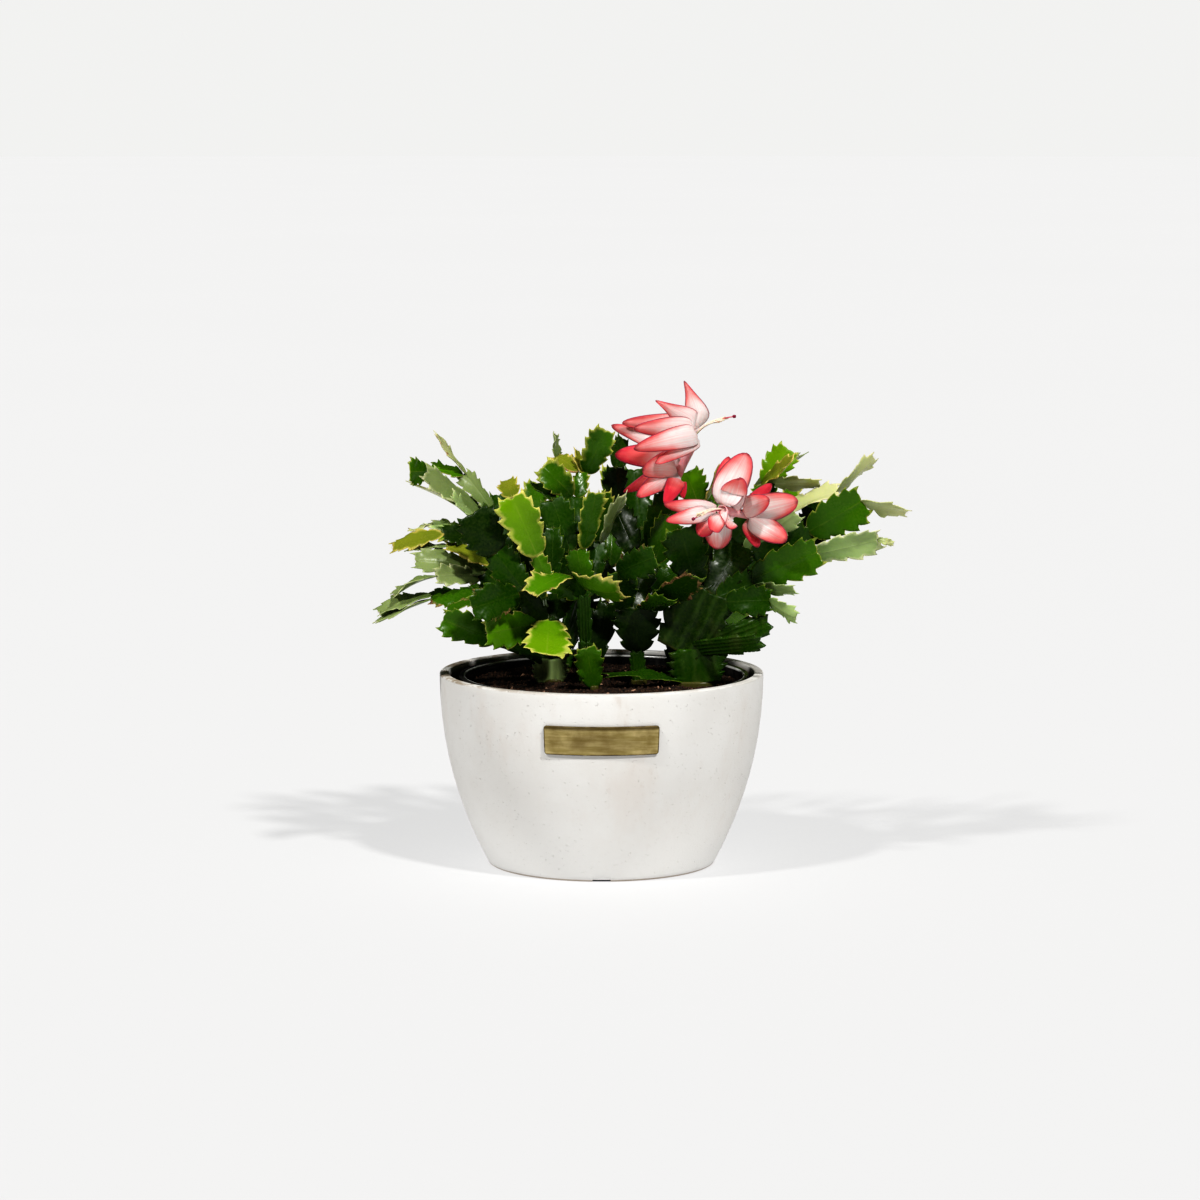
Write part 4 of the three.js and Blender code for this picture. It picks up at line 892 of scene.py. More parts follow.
# A code names a segment, and without its last figure it names the one that it grows from. Each row: code,
# seen x, seen z and depth of the tip, width, turn about its own line in degrees, arch, and its tone, with the
# words rim for a broad yellow rim and cork for brown scabs along its margin.
STEMS = [
    {"name": "stem_left", "root": (-29, -4, 8, 4.5), "woody": 2, "seed": 11, "rows": [
        ("1", -29, 116, -6, 21, 8, 0, "pale"),
        ("11", -31, 138, -16, 15, 0, 0, "deep"),
        ("111", -31, 116.5, -46, 26, 0, -2, "bright rim cork"),
        ("112", -66, 129, -36, 19, 0, 1, "fresh cork"),
        ("113", -46, 154, -26, 13, 0, 0, "deep"),
        ("114", -20, 157, 0, 15, 0, 0, "deep"),
        ("1131", -74, 143, -44, 20, 0, 2, "dark cork"),
        ("1132", -60, 176, -24, 19, 0, 1, "dark cork"),
        ("11321", -73, 198, -23, 25, 0, 2, "deep"),
        ("12", -61, 126, -20, 12, 55, 1, "dark"),
        ("121", -90.5, 137.5, -28, 17, 0, 1, "green"),
        ("13", -44, 142, 8, 15, 20, 0, "deep"),
        ("131", -67, 166, 4, 18, 15, 1, "dark"),
        ("1311", -88, 179, 0, 14, 55, 1, "olive rim"),
        ("13111", -109, 176, 4, 12, 75, 1, "ash"),
        ("1312", -106, 170, -8, 15, 35, 2, "ash"),
        ("1313", -94, 161.5, -26, 13, 30, 1, "ash rim"),
        ("13131", -117, 150, -27, 14, 86, 2, "ash"),
        ("132", -73, 152, -22, 15, 45, 1, "dark"),
        ("1321", -97, 149.5, -22, 14, 50, 1, "green cork"),
        ("13211", -126, 140.5, -28, 15, 68, 1, "ash"),
        ("13212", -126.6, 135, -34, 12, 82, 1, "ash"),
        ("133", -52, 164, 22, 16, 0, 0, "deep"),
        ("1331", -70, 184, 18, 18, 0, 1, "dark"),
        ("13311", -90, 185.5, 2, 14, 40, 1, "deep rim"),
        ("133111", -118, 177.5, 4, 15, 55, 1, "olive rim cork"),
        ("13312", -97, 191.5, 32, 13, 60, 2, "pale rim"),
        ("133121", -106, 187, 18, 9, 80, 0, "straw cork"),
        ("13313", -84, 208, 6, 12, 68, 0, "pale"),
        ("1332", -67, 198, 36, 18, 0, 0, "dark"),
        ("13321", -100, 222, 14, 17, 55, 1, "ash rim"),
        ("133211", -107.5, 220.5, 4, 15, 0, 0, "green"),
        ("13322", -78, 220, 42, 14, 45, 1, "ash"),
        ("133221", -93, 242, 38, 13, 78, 0, "straw cork"),
        ("133222", -96, 223, 42, 13, 60, 1, "fresh"),
        ("13323", -107, 214, 18, 13, 84, 2, "straw"),
    ]},
    {"name": "stem_middle", "root": (-9, -8, 4.2, 3.6), "woody": 2, "seed": 23, "rows": [
        ("1", -9, 126, -9, 9, 0, 0, "dark"),
        ("11", -10, 152, -14, 9, 0, 0, "dark"),
        ("111", -17, 163, -22, 10, 0, 0, "dark"),
        ("1111", -40, 150.5, -46, 17, 55, 2, "fresh rim cork"),
        ("1112", 12, 153.5, -48, 19, 62, 5, "fresh rim cork"),
        ("112", -30, 160, -22, 12, 0, 0, "green"),
        ("1121", -36.5, 174, -26, 11, 0, 0, "fresh rim"),
        ("11211", -51, 208, -30, 22, 0, 1, "bright rim cork"),
        ("1122", -27, 190, -12, 13, 0, 0, "dark"),
        ("112111", -53, 216, -8, 12, 0, 0, "olive rim cork"),
        ("113", -14, 178, -12, 14, 0, 0, "green"),
        ("1131", -3, 210, -22, 14, 25, 0, "green rim"),
        ("1132", -28, 206, -2, 19, 0, 0, "dark"),
        ("11321", -37, 214, 12, 12, 60, 0, "dark cork"),
        ("1133", -15, 208, 10, 16, 10, 0, "dark"),
        ("11331", -34, 224, 2, 17, 15, 3, "green rim"),
        ("11332", -11, 221, 16, 10, 0, 0, "green rim"),
        ("113321", -26, 229, 26, 12, 40, 1, "olive rim cork"),
        ("1133211", -26, 242, 30, 11, 65, 0, "ash"),
        ("113322", 3, 245, 8, 16, 0, 1, "green rim"),
        ("113323", -14, 233, 26, 8, 50, 0, "olive rim"),
        ("114", -1, 183, 0, 12, 0, 0, "dark"),
        ("1141", 2, 210, -12, 13, 30, 0, "green rim"),
        ("1142", 12, 208, -22, 12, 62, 0, "ash rim"),
        ("2", 4, 148, 4, 14, 0, 0, "deep"),
    ]},
    {"name": "stem_young", "root": (-4, -32, 2.4, 1.8), "woody": 0, "seed": 37, "rows": [
        ("1", -9, 122, -36, 15, 10, 0, "green"),
    ]},
    {"name": "stem_centre", "root": (21, -6, 4.6, 3.6), "woody": 1, "seed": 41, "rows": [
        ("1", 20, 120, -8, 9, 0, 0, "dark"),
        ("11", 19.5, 145, -10, 24, 0, 0, "deep"),
        ("111", 9, 165, -20, 18, 10, 0, "dark cork"),
        ("1111", 31, 173, -34, 17, 0, 1, "dark cork"),
        ("112", 38, 149, -36, 14, 62, 1, "green cork"),
        ("113", 53, 163, -40, 19, 35, 2, "dark cork"),
        ("114", 25, 172, 6, 17, 0, 0, "deep"),
        ("1141", 38, 197, 4, 18, 20, 1, "green"),
        ("1142", 8, 200, 22, 16, 0, 0, "deep"),
        ("11421", 8, 224, 20, 14, 15, 1, "deep"),
        ("114211", 12, 240, 30, 13, 30, 0, "dark"),
        ("1143", 38, 210, 16, 17, 20, 0, "dark"),
    ]},
    {"name": "stem_right", "root": (51, -14, 13, 5), "woody": 2, "seed": 53, "rows": [
        ("1", 52, 122, -14, 33, 0, 0, "dark"),
        ("11", 62, 154, -14, 36, 0, 0, "deep"),
        ("12", 91, 125, -44, 12, 25, 1, "dark"),
        ("13", 95, 136.5, -24, 15, 0, 1, "dark"),
        ("111", 96, 148, -26, 17, 0, 1, "dark"),
        ("1111", 110, 138, -36, 11, 45, 1, "pale"),
        ("112", 86, 158, -8, 18, 0, 0, "dark"),
        ("1121", 123, 176, -16, 22, 0, 2, "green"),
        ("1122", 109, 154, -32, 9, 40, 0, "pale"),
        ("113", 44, 190, -24, 24, 0, 2, "dark"),
        ("114", 80, 180, 2, 22, 0, 0, "deep"),
        ("1141", 119, 181, 2, 24, 10, 2, "dark"),
        ("11411", 157, 183, -8, 17, 20, 1, "pale rim"),
        ("114111", 164, 180, -12, 4, 0, 0, "straw"),
        ("11412", 147, 205, -2, 24, 5, 3, "green"),
        ("114121", 171.6, 197.5, 4, 12, 60, 0, "straw"),
        ("11413", 123, 204, 36, 22, 15, 0, "deep"),
        ("1142", 85, 196, 0, 16, 0, 0, "dark"),
        ("1143", 97, 199, 14, 18, 10, 0, "dark"),
        ("11431", 134, 210, 6, 15, -52, 1, "straw rim"),
        ("114311", 153, 229, 10, 13, 66, 0, "straw"),
        ("1144", 110, 198, -12, 15, 20, 0, "pale"),
        ("11433", 90, 214, 24, 15, 0, 0, "green"),
        ("114331", 105, 234, 28, 17, 0, 0, "bright"),
        ("114332", 108, 228, 6, 13, -60, 0, "olive rim"),
        ("114333", 113, 230, 48, 12, -72, 0, "ash"),
        ("114334", 123, 214, 14, 12, 50, 0, "straw"),
        ("115", 60, 182, 14, 20, 0, 0, "deep"),
        ("1151", 56, 205, 20, 17, 0, 0, "dark"),
        ("11511", 47, 221, 22, 20, 0, 1, "fresh"),
        ("11512", 66.5, 225, 14, 10, 75, 0, "olive rim"),
        ("2", 2, 105.5, -26, 12, 70, 2, "dark"),
    ]},
    {"name": "stem_back_left", "root": (-24, 42, 6.5, 4.2), "woody": 2, "seed": 67, "rows": [
        ("1", -25, 124, 46, 18, 0, 0, "dark"),
        ("11", -34, 150, 58, 18, 20, 0, "deep"),
        ("111", -62, 154, 74, 17, 50, 1, "dark"),
        ("1111", -87, 145, 88, 17, 40, 1, "green"),
        ("112", -48, 174, 66, 18, 30, 0, "dark"),
        ("1121", -72, 188, 84, 17, 45, 1, "green"),
        ("11211", -92, 186, 96.6, 15, 60, 1, "fresh rim"),
        ("1122", -38, 196, 78, 19, 20, 0, "dark cork"),
        ("11221", -36, 215, 96.6, 15, 10, 0, "green rim"),
        ("1123", -58, 209, 78, 16, 20, 0, "dark"),
        ("12", -12, 148, 60, 17, 40, 0, "dark"),
        ("121", -22, 174, 72, 18, 20, 0, "dark"),
        ("1211", -26, 202, 80, 17, 30, 1, "green"),
        ("12111", -24, 220, 95, 14, 20, 0, "fresh rim"),
        ("122", 6, 168, 72, 17, 30, 0, "dark"),
        ("1221", 6, 198, 88, 19, 0, 0, "green cork"),
        ("12211", 4, 224, 94, 15, 30, 0, "green rim"),
        ("123", 11, 140, 78, 16, 30, 1, "deep"),
        ("13", -30, 132, 84, 19, 10, 3, "green"),
        ("113", -52, 140, 92, 17, 20, 3, "fresh rim"),
    ]},
    {"name": "stem_back_right", "root": (44, 44, 6.5, 4.2), "woody": 2, "seed": 79, "rows": [
        ("1", 45, 130, 48, 18, 0, 0, "dark"),
        ("11", 52, 156, 58, 17, 30, 0, "deep"),
        ("111", 78, 160, 78, 17, 40, 1, "dark"),
        ("1111", 104, 168, 92, 16, 30, 1, "green rim"),
        ("112", 60, 182, 72, 18, 20, 0, "dark"),
        ("1121", 64, 208, 84, 17, 30, 0, "green cork"),
        ("113", 89, 176, 60, 18, 20, 0, "dark"),
        ("1131", 104, 198, 80, 17, 20, 1, "green"),
        ("11311", 106, 216, 92, 14, 40, 0, "fresh rim"),
        ("114", 27, 160, 74, 18, 20, 0, "dark"),
        ("1141", 22, 190, 66, 17, 20, 0, "dark"),
        ("11411", 18, 223, 78, 17, 20, 0, "dark"),
        ("1142", 38, 194, 88, 17, 10, 1, "green"),
        ("12", 66, 136, 84, 18, 10, 3, "green"),
        ("115", 84, 132, 92, 17, 20, 3, "fresh rim"),
    ]},
]


def set_eyes(eyes, code, rows, tip_at):
    """Segments that grow from one blunt tip stand side by side across it, in the order in which they lean."""
    middle = tip_at(0)
    to_edge = tip_at(1) - middle

    def lean(row):
        return (seen_at(*row[1:4]) - middle).normalized().dot(to_edge)

    children = sorted((row for row in rows if row[0][:-1] == code), key=lean)
    gaps = len(children) - 1
    for i, row in enumerate(children):
        place = 2 * i / gaps - 1 if gaps else 0
        eyes[row[0]] = tip_at(place * EYE["spread"] * min(1, gaps / 2))


def segment_kind(segment):
    if segment["thick"] > RIB_HALF:
        return WOODY
    return NARROW if segment["half"] * 2 < NARROW_BELOW else BROAD


def stem_segments(stem):
    """Every segment of a stem, each with its frame, the moves of its teeth and its finish."""
    chance = chances(stem["seed"])
    x, y, half_x, _ = stem["root"]
    eyes = {}
    crown = SOIL_LEVEL + ROOT["collar"] - 1
    set_eyes(eyes, "", stem["rows"], lambda share: Vector((x + share * half_x, y, crown)))
    segments = []
    for code, seen_x, seen_z, depth, width, turn, arch, words in stem["rows"]:
        tip = seen_at(seen_x, seen_z, depth)
        foot = eyes[code] - (tip - eyes[code]).normalized() * SINK
        old = code.startswith("1") and len(code) <= stem["woody"]
        wood = min(WOOD["most"], WOOD["share"] * width) / len(code) ** 2 if old else 0
        segment = segment_frame(foot, tip, width, turn, arch, RIB_HALF + wood)
        set_eyes(eyes, code, stem["rows"], lambda share, s=segment: on_segment(s, share, EYE["along"]))
        for hand in ("right", "left"):
            segment[hand + " slip"] = (next(chance) - 0.5) * TOOTH_CHANCE["slip"]
            segment[hand + " reach"] = TOOTH_CHANCE["shortest"] + next(chance) * TOOTH_CHANCE["reach"] - 1
        segment["words"] = words.split()
        segments.append(segment)
    return segments


def points_mesh(name, points, edges=()):
    mesh = bpy.data.meshes.new(name)
    mesh.from_pydata(points, edges, [])
    return mesh


def keep(mesh, label, values, kind="FLOAT"):
    """Keeps a value at each point of a mesh, under a name that trees and materials read it by."""
    slot = "vector" if kind == "FLOAT_VECTOR" else "value"
    for item, value in zip(mesh.attributes.new(label, kind, "POINT").data, values):
        setattr(item, slot, value)


def growth_points(stem):
    """One point for each segment, at its foot, which keeps what the growing tree reads."""
    segments = stem_segments(stem)
    feet = [segment["foot"] * MM for segment in segments]
    words = [segment["words"] for segment in segments]
    kinds = [segment_kind(segment) for segment in segments]
    mesh = points_mesh(stem["name"] + " growth points", feet)
    keep(mesh, "start", feet, "FLOAT_VECTOR")
    for label in ("along", "across", "facing"):
        keep(mesh, label, [segment[label] for segment in segments], "FLOAT_VECTOR")
    for label in ("length", "half", "arch", "thick"):
        keep(mesh, label, [segment[label] * MM for segment in segments])
    for label in ("right slip", "right reach", "left slip", "left reach"):
        keep(mesh, label, [segment[label] for segment in segments])
    for i, label in enumerate(("tone", "rim tone")):
        keep(mesh, label, [TONES[tone][i][:3] for tone, *_ in words], "FLOAT_VECTOR")
    for label in ("rim", "cork"):
        keep(mesh, label, [float(label in finish) for finish in words])
    keep(mesh, "kind", kinds, "INT")
    keep(mesh, "age", [float(kind == WOODY) for kind in kinds])
    dice = random.Random(stem["seed"])
    keep(mesh, "phase", [dice.uniform(0, FULL_TURN) for _ in segments])
    return mesh


def kept_by(tree):
    """Reads what the base mesh of a tree keeps at each point, by its name."""
    def kept(label, kind="FLOAT"):
        return made(tree, "GeometryNodeInputNamedAttribute", {"Name": label}, "Attribute", data_type=kind)
    return kept


def growing_tree():
    """Grows a flat pattern into each segment of a stem: it is set on its frame, keeled, arched and waved."""
    patterns = ("Broad leaf", "Narrow leaf", "Woody leaf")
    inputs = {"Geometry": "Geometry", **{label: "Object" for label in patterns}, "Keel": KEEL, "Fold": 0.18,
              "Curl": 0.24, "Margin half": MARGIN_HALF * MM, "Rib half": RIB_HALF * MM, "Wave": 0.0012,
              "Lobe": 0.05, "Twist": 0.16, "Bristle length": 0.0015, "Finish": "Material"}
    tree, given, end = new_tree("leafy stem", inputs)
    kept = kept_by(tree)
    joined = put(tree, "GeometryNodeJoinGeometry")
    for number, label in reversed(list(enumerate(patterns))):
        sockets = {2: kept("kind", "INT"), 3: number}
        chosen = made(tree, "FunctionNodeCompare", sockets, data_type="INT", operation="EQUAL")
        shape = made(tree, "GeometryNodeObjectInfo", {"Object": given[label]}, "Geometry")
        sockets = {"Points": given["Geometry"], "Selection": chosen, "Instance": shape}
        feed(joined.inputs[0], made(tree, "GeometryNodeInstanceOnPoints", sockets))
    real = made(tree, "GeometryNodeRealizeInstances", {0: Wire(joined.outputs[0])})

    across, along, rounding = kept("blade", "FLOAT_VECTOR").parts()
    loose_across, loose_along, _ = kept("tooth", "FLOAT_VECTOR").parts()
    phase, half, thick = kept("phase"), kept("half"), kept("thick")
    young = kept("age").inverse()
    on_right = across.step("GREATER_THAN", 0.0)
    on_left = on_right.inverse()
    slip = on_right * kept("right slip") + on_left * kept("left slip")
    reach = on_right * kept("right reach") + on_left * kept("left reach")
    lobes = (along * 9.0 + phase + on_right * 2.1).sine() * across * given["Lobe"] * young
    across = across + loose_across * reach + lobes * along.rise(0.05, 0.4)
    along = along + loose_along * slip
    squared = across.power(2.0)

    keel = (squared + 0.012).power(0.5) - 0.1095
    folded = given["Keel"] + given["Fold"] * (phase * 1.3).sine() * along.rise(0.0, 0.3) * young
    arched = kept("arch") * 4.0 * along * along.inverse()
    curl = given["Curl"] * (phase * 3.1).sine() * half * squared * along * young
    ripple = (along * 8.5 + phase * 1.7 + across * 1.6).sine()
    wave = given["Wave"] * ripple * squared * along.rise(0.05, 0.35) * young
    twist = given["Twist"] * (phase * 2.3).sine() * (along - 0.1) * across * half * young
    edge_half = given["Margin half"] + (thick - given["Rib half"]) * 0.5
    body = kept("face") * rounding * (edge_half + (thick - edge_half) * kept("swell"))
    foot_taper = along.rise(0.0, 0.12, 0.6, 1.0).step("MAXIMUM", kept("age"))
    stick = kept("bristle") * kept("stick") * given["Bristle length"]
    lift = arched + folded * half * keel + curl + wave + twist + body * foot_taper + stick * 0.35

    onward = along * kept("length") + stick * 0.5
    placed = kept("start", "FLOAT_VECTOR") + kept("along", "FLOAT_VECTOR") * onward
    placed = placed + kept("across", "FLOAT_VECTOR") * (across * half) + kept("facing", "FLOAT_VECTOR") * lift
    moved = made(tree, "GeometryNodeSetPosition", {"Geometry": real, "Position": placed})
    feed(end, made(tree, "GeometryNodeSetMaterial", {"Geometry": moved, "Material": given["Finish"]}))
    return tree


def leaf_skin():
    finish = Finish("waxy leaf skin", Specular_IOR_Level=0.2, Subsurface_Weight=0.12,
                    Subsurface_Scale=0.0018, Subsurface_Radius=(0.7, 1.0, 0.1))
    across, along, _ = finish.value("blade", "Vector").parts()
    inset = finish.value("inset")
    tone = finish.value("tone", "Color")
    rim_tone = finish.value("rim tone", "Color")
    broad_rim = finish.value("rim")
    cork = finish.value("cork")
    age = finish.value("age")
    young = age.inverse()
    clouds = finish.mottle(70, 0.5, 0.3, 3.0)
    fine = finish.mottle(700, 0.45, 0.2, 3.0)
    drift = finish.noise(140, 4.0)
    # Painted shade: the blade darkens towards its foot, where the segments meet; random clouds of the same
    # darker tone are its own colour.
    darker_tone_and_shade = tone * (0.5, 0.62, 0.45)
    painted_shade_toward_foot = (along + (drift - 0.5) * 0.5 - across.size() * 0.12).rise(0.0, 0.75).inverse()
    colour = (clouds * 0.35 + painted_shade_toward_foot * 0.65 * young).pick(tone, darker_tone_and_shade)
    colour = (fine * 0.05).pick(colour, paint(150, 170, 70))
    midrib = (across.size() + (drift - 0.5) * 0.05).rise(0.0, 0.06).inverse() * young
    patches = finish.mottle(75, 0.45, 0.16, 3.0)
    colour = (midrib * patches * 0.1).pick(colour, rim_tone)
    width = (broad_rim + 0.45) * drift.rise(0.3, 0.7, 0.25, 1.7)
    near_rim = inset.step("DIVIDE", width).rise(0.1, 1.3).inverse()
    colour = (near_rim * (broad_rim * 0.35 + patches * 0.45 + 0.12) * young).pick(colour, rim_tone)
    line = inset.rise(0.1, 0.35).inverse() * young * (broad_rim * 0.3 + patches * 0.4)
    colour = line.pick(colour, rim_tone)
    scabs = finish.mottle(52, 0.34, 0.04, 5.0) * (inset + drift * 0.8).rise(1.2, 2.2).inverse() * cork
    rust = finish.noise(900).rise(0.35, 0.65).pick(paint(98, 62, 38), paint(186, 146, 108))
    colour = scabs.pick(colour, rust)
    joint = along.rise(0.0, 0.05).inverse() * 0.5
    colour = joint.pick(colour, paint(104, 96, 50))
    ribs_and_rib_highlights = (across * 17.0 + finish.noise(45) * 7.0).sine() * finish.mottle(60, 0.6, 0.3) * age
    # Painted highlight: the woody ribs get lighter stripes along their crests.
    colour = (ribs_and_rib_highlights.rise(0.0, 0.8) * 0.24).pick(colour, paint(78, 104, 46))
    bark = finish.mottle(90, 0.35, 0.1, 6.0, place=finish.place * (1.0, 1.0, 0.35)) * age
    colour = (bark * 0.3).pick(colour, paint(96, 98, 62))
    colour = finish.value("bristle").pick(colour, paint(206, 190, 142))
    wax = finish.mottle(45, 0.5, 0.2)
    rough = (wax * 0.5 + fine * 0.2 + scabs * 0.9).rise(0.0, 1.2, 0.19, 0.6)
    veins = (along * 30.0 - across.size() * 16.0 + finish.noise(70) * 2.0).sine() * 0.5 * young
    dents = finish.noise(120, 2.0) * 2.6
    height = veins * 0.07 + fine * 0.03 + finish.noise(1600, 2.0) * 0.02 + dents
    height = height + ribs_and_rib_highlights * 0.8 + midrib * 0.3 + scabs * 0.5
    dull = tone.parts()[1].rise(0.03, 0.14, 0.05, 0.0)
    return finish.done(colour, rough + dull, height, 0.00022)


def root_foot(stem):
    """The short woody foot that stands in the soil, with the age and tone that the leaf skin reads."""
    x, y, half_x, half_y = stem["root"]
    top = SOIL_LEVEL + ROOT["collar"] - 0.6
    heights = [SOIL_LEVEL - ROOT["depth"], SOIL_LEVEL - 8, SOIL_LEVEL, SOIL_LEVEL + 2, top]
    profile = [(0, heights[0]), *((1, z) for z in heights), (0.86, top + 0.5), (0, top + 0.6)]
    piece = turned(stem["name"] + "_foot", profile, even_turns(ROOT["sides"]))
    points = piece.data.vertices
    for point in points:
        point.co.x = point.co.x * half_x + x * MM
        point.co.y = point.co.y * half_y + y * MM
    keep(piece.data, "age", [1.0] * len(points))
    keep(piece.data, "tone", [paint(44, 54, 18)[:3]] * len(points), "FLOAT_VECTOR")
    return piece


SKIN = leaf_skin()
patterns = {label: leaf_pattern(label, kind) for label, kind in
            (("Broad_leaf", BROAD_LEAF), ("Narrow_leaf", NARROW_LEAF), ("Woody_leaf", WOODY_LEAF))}
growing = growing_tree()
for stem in STEMS:
    leaves = grown(stem["name"] + "_leaves", growth_points(stem), growing, Finish=SKIN, **patterns)
    dress(leaves, "leaf", stem["name"])
    dress(root_foot(stem), "leaf", stem["name"], material=SKIN)
for pattern in patterns.values():
    bpy.data.objects.remove(pattern)


# FLOWERS
# Each flower is a slender tube with two rings of thin silky petals, white in their middles and coral red to
# magenta at their tips and margins. It grew on the tip of a leaf segment, and its tube stands on that tip.

# Each petal's row: its place along the tube as a share, seen x, seen z and depth of its tip, its width, how
# pointed it is, and how red all over.
BLOOMS = [
    {"name": "bloom_1", "foot": (38.4, 209.2, 15.4), "mouth": (53, 241, 6), "stigma": (74, 251.5, -2),
     "seed": 4, "petals": [
        (1, 46, 271.45, 12, 14.5, 1.0, 0),
        (1, 30, 260.5, 4, 15, 1.0, 0),
        (1, 11.5, 248, 26, 13, 0.3, 0),
        (1, 18, 245, -12, 14, 0.4, 0),
        (1, 18, 233.5, -24, 14, 0.35, 0),
        (0.35, 5.5, 246.5, 32, 11, 0.2, 0),
        (1, 30, 225, -16, 9, 0.3, 0),
        (0.35, 7.5, 230.5, 8, 14, 0.0, 0.5),
        (0.3, 23, 222, -22, 16, 0.0, 0),
        (0.25, 12, 209, 4, 13, 0.7, 0.7),
        (0.3, 20, 206.5, -16, 14, 0.4, 0.1),
        (0.2, 35.5, 202.5, -24, 11, 0.3, 0.9),
        (0.2, 46, 205.5, -6, 7, 0.5, 1.0),
    ]},
    {"name": "bloom_2", "foot": (84.6, 196, -1.45), "mouth": (66, 199, -32), "stigma": (51.5, 194, -54),
     "seed": 7, "petals": [
        (0.15, 110, 204, -30, 16, 0.0, 0),
        (0.15, 104, 182, -30, 14, 0.0, 0),
        (0.1, 88, 178, -20, 9, 0.2, 0.8),
        (0.1, 95, 214, -2, 10, 0.3, 0.9),
        (0.35, 94, 205, -34, 13, 0.2, 0),
        (0.9, 81, 231, -20, 19, 0.0, 0),
        (0.8, 71, 229, -6, 11, 0.0, 0.3),
        (0.6, 77, 217, -38, 15, 0.0, 0),
        (0.6, 70, 190, -46, 13, 0.0, 0),
        (1, 35, 202, -30, 10, 0.4, 0.2),
        (1, 36, 193, -38, 10, 0.5, 0.2),
        (1, 54, 185, -34, 12, 0.1, 0.4),
        (1, 65, 177, -32, 16, 0.0, 0),
        (1, 62, 187, -56, 10, 0.0, 0.35),
    ]},
]

TUBE_RADII = [(0, 0.9), (0.04, 2.1), (0.08, 2.7), (0.25, 2.5), (0.5, 2.4), (0.75, 2.8), (0.93, 3.2)]
THROAT_DEPTH = 9
RINGS = {"parting": 0.7, "upper": 3.5, "lower": 1.9, "sunk": 2}
RING_EVENNESS = 0.5
PETAL = {"half": 0.22, "cup": 0.06, "lead": 0.34, "turned": 0.6, "rows": 18,
         "columns": [-1, -0.86, -0.6, -0.3, 0, 0.3, 0.6, 0.86, 1]}


def blunt_spread(share):
    """The half width of a petal with a round end: it is widest at two thirds of its length."""
    rising = 0.22 + 0.78 * math.sin(min(1.0, share / 0.66) * math.pi / 2)
    past = max(0.0, (share - 0.66) / 0.34)
    return rising * math.sqrt(max(0.0, 1 - past ** 2.3))


def pointed_spread(share):
    """The half width of a petal with shoulders and a drawn-out tip."""
    rising = 0.18 + 0.8 * math.sin(min(1.0, share / 0.48) * math.pi / 2)
    past = max(0.0, (share - 0.5) / 0.5)
    shoulder = (1 - 0.4 * past) / (1 + (past / 0.74) ** 3.4)
    return rising * shoulder * math.sqrt(max(0.0, 1 - past ** 9))


def petal_pattern():
    """A flat petal: columns across it and rows along it, with a rounded margin."""
    form = bmesh.new()
    petal = form.verts.layers.float_vector.new("petal")
    spreads = form.verts.layers.float_vector.new("spreads")
    count = PETAL["rows"]
    shares = [0.5 - 0.5 * math.cos(math.pi * (0.12 + 0.88 * i / count)) for i in range(count + 1)]
    rows = []
    for share in shares:
        share = (share - shares[0]) / (1 - shares[0])
        row = []
        for face, columns in ((1, PETAL["columns"]), (-1, PETAL["columns"][1:-1])):
            for across in columns:
                thin = 0 if abs(across) == 1 else face * (1 - 0.55 * across * across)
                at = form.verts.new((across, share, 0.1 * thin))
                at[petal] = (across, share, thin)
                at[spreads] = (blunt_spread(share), pointed_spread(share), 0)
                row.append(at)
        front = len(PETAL["columns"])
        rows.append(row[:front] + row[front:][::-1])
    skin(form, rows)
    form.faces.new(rows[0][::-1])
    form.faces.new(rows[-1])
    bmesh.ops.recalc_face_normals(form, faces=form.faces)
    return finished("petal", form)


def ring_places(members, start, end, line):
    """Where each petal of a ring leaves the tube: part way from its tip's own side to its even share."""
    first = Vector((0, 0, 1))
    first = (first - line * first.dot(line)).normalized()
    second = line.cross(first)
    places = []
    for petal in members:
        on_axis = start.lerp(end, petal[0])
        lean = seen_at(*petal[1:4]) - on_axis
        places.append((math.atan2(lean.dot(second), lean.dot(first)), petal, on_axis))
    places.sort(key=lambda place: place[0])
    turn = 2 * math.pi / len(places)
    offset = sum(place[0] - turn * i for i, place in enumerate(places)) / len(places)
    for i, (own, petal, on_axis) in enumerate(places):
        angle = own + RING_EVENNESS * (offset + turn * i - own)
        yield petal, on_axis, first * math.cos(angle) + second * math.sin(angle)


def bloom_lines(bloom):
    """Where a bloom's tube starts and ends, its own line, and the line along which its mouth opens."""
    start = seen_at(*bloom["foot"])
    end = seen_at(*bloom["mouth"])
    return start, end, (end - start).normalized(), (seen_at(*bloom["stigma"]) - end).normalized()


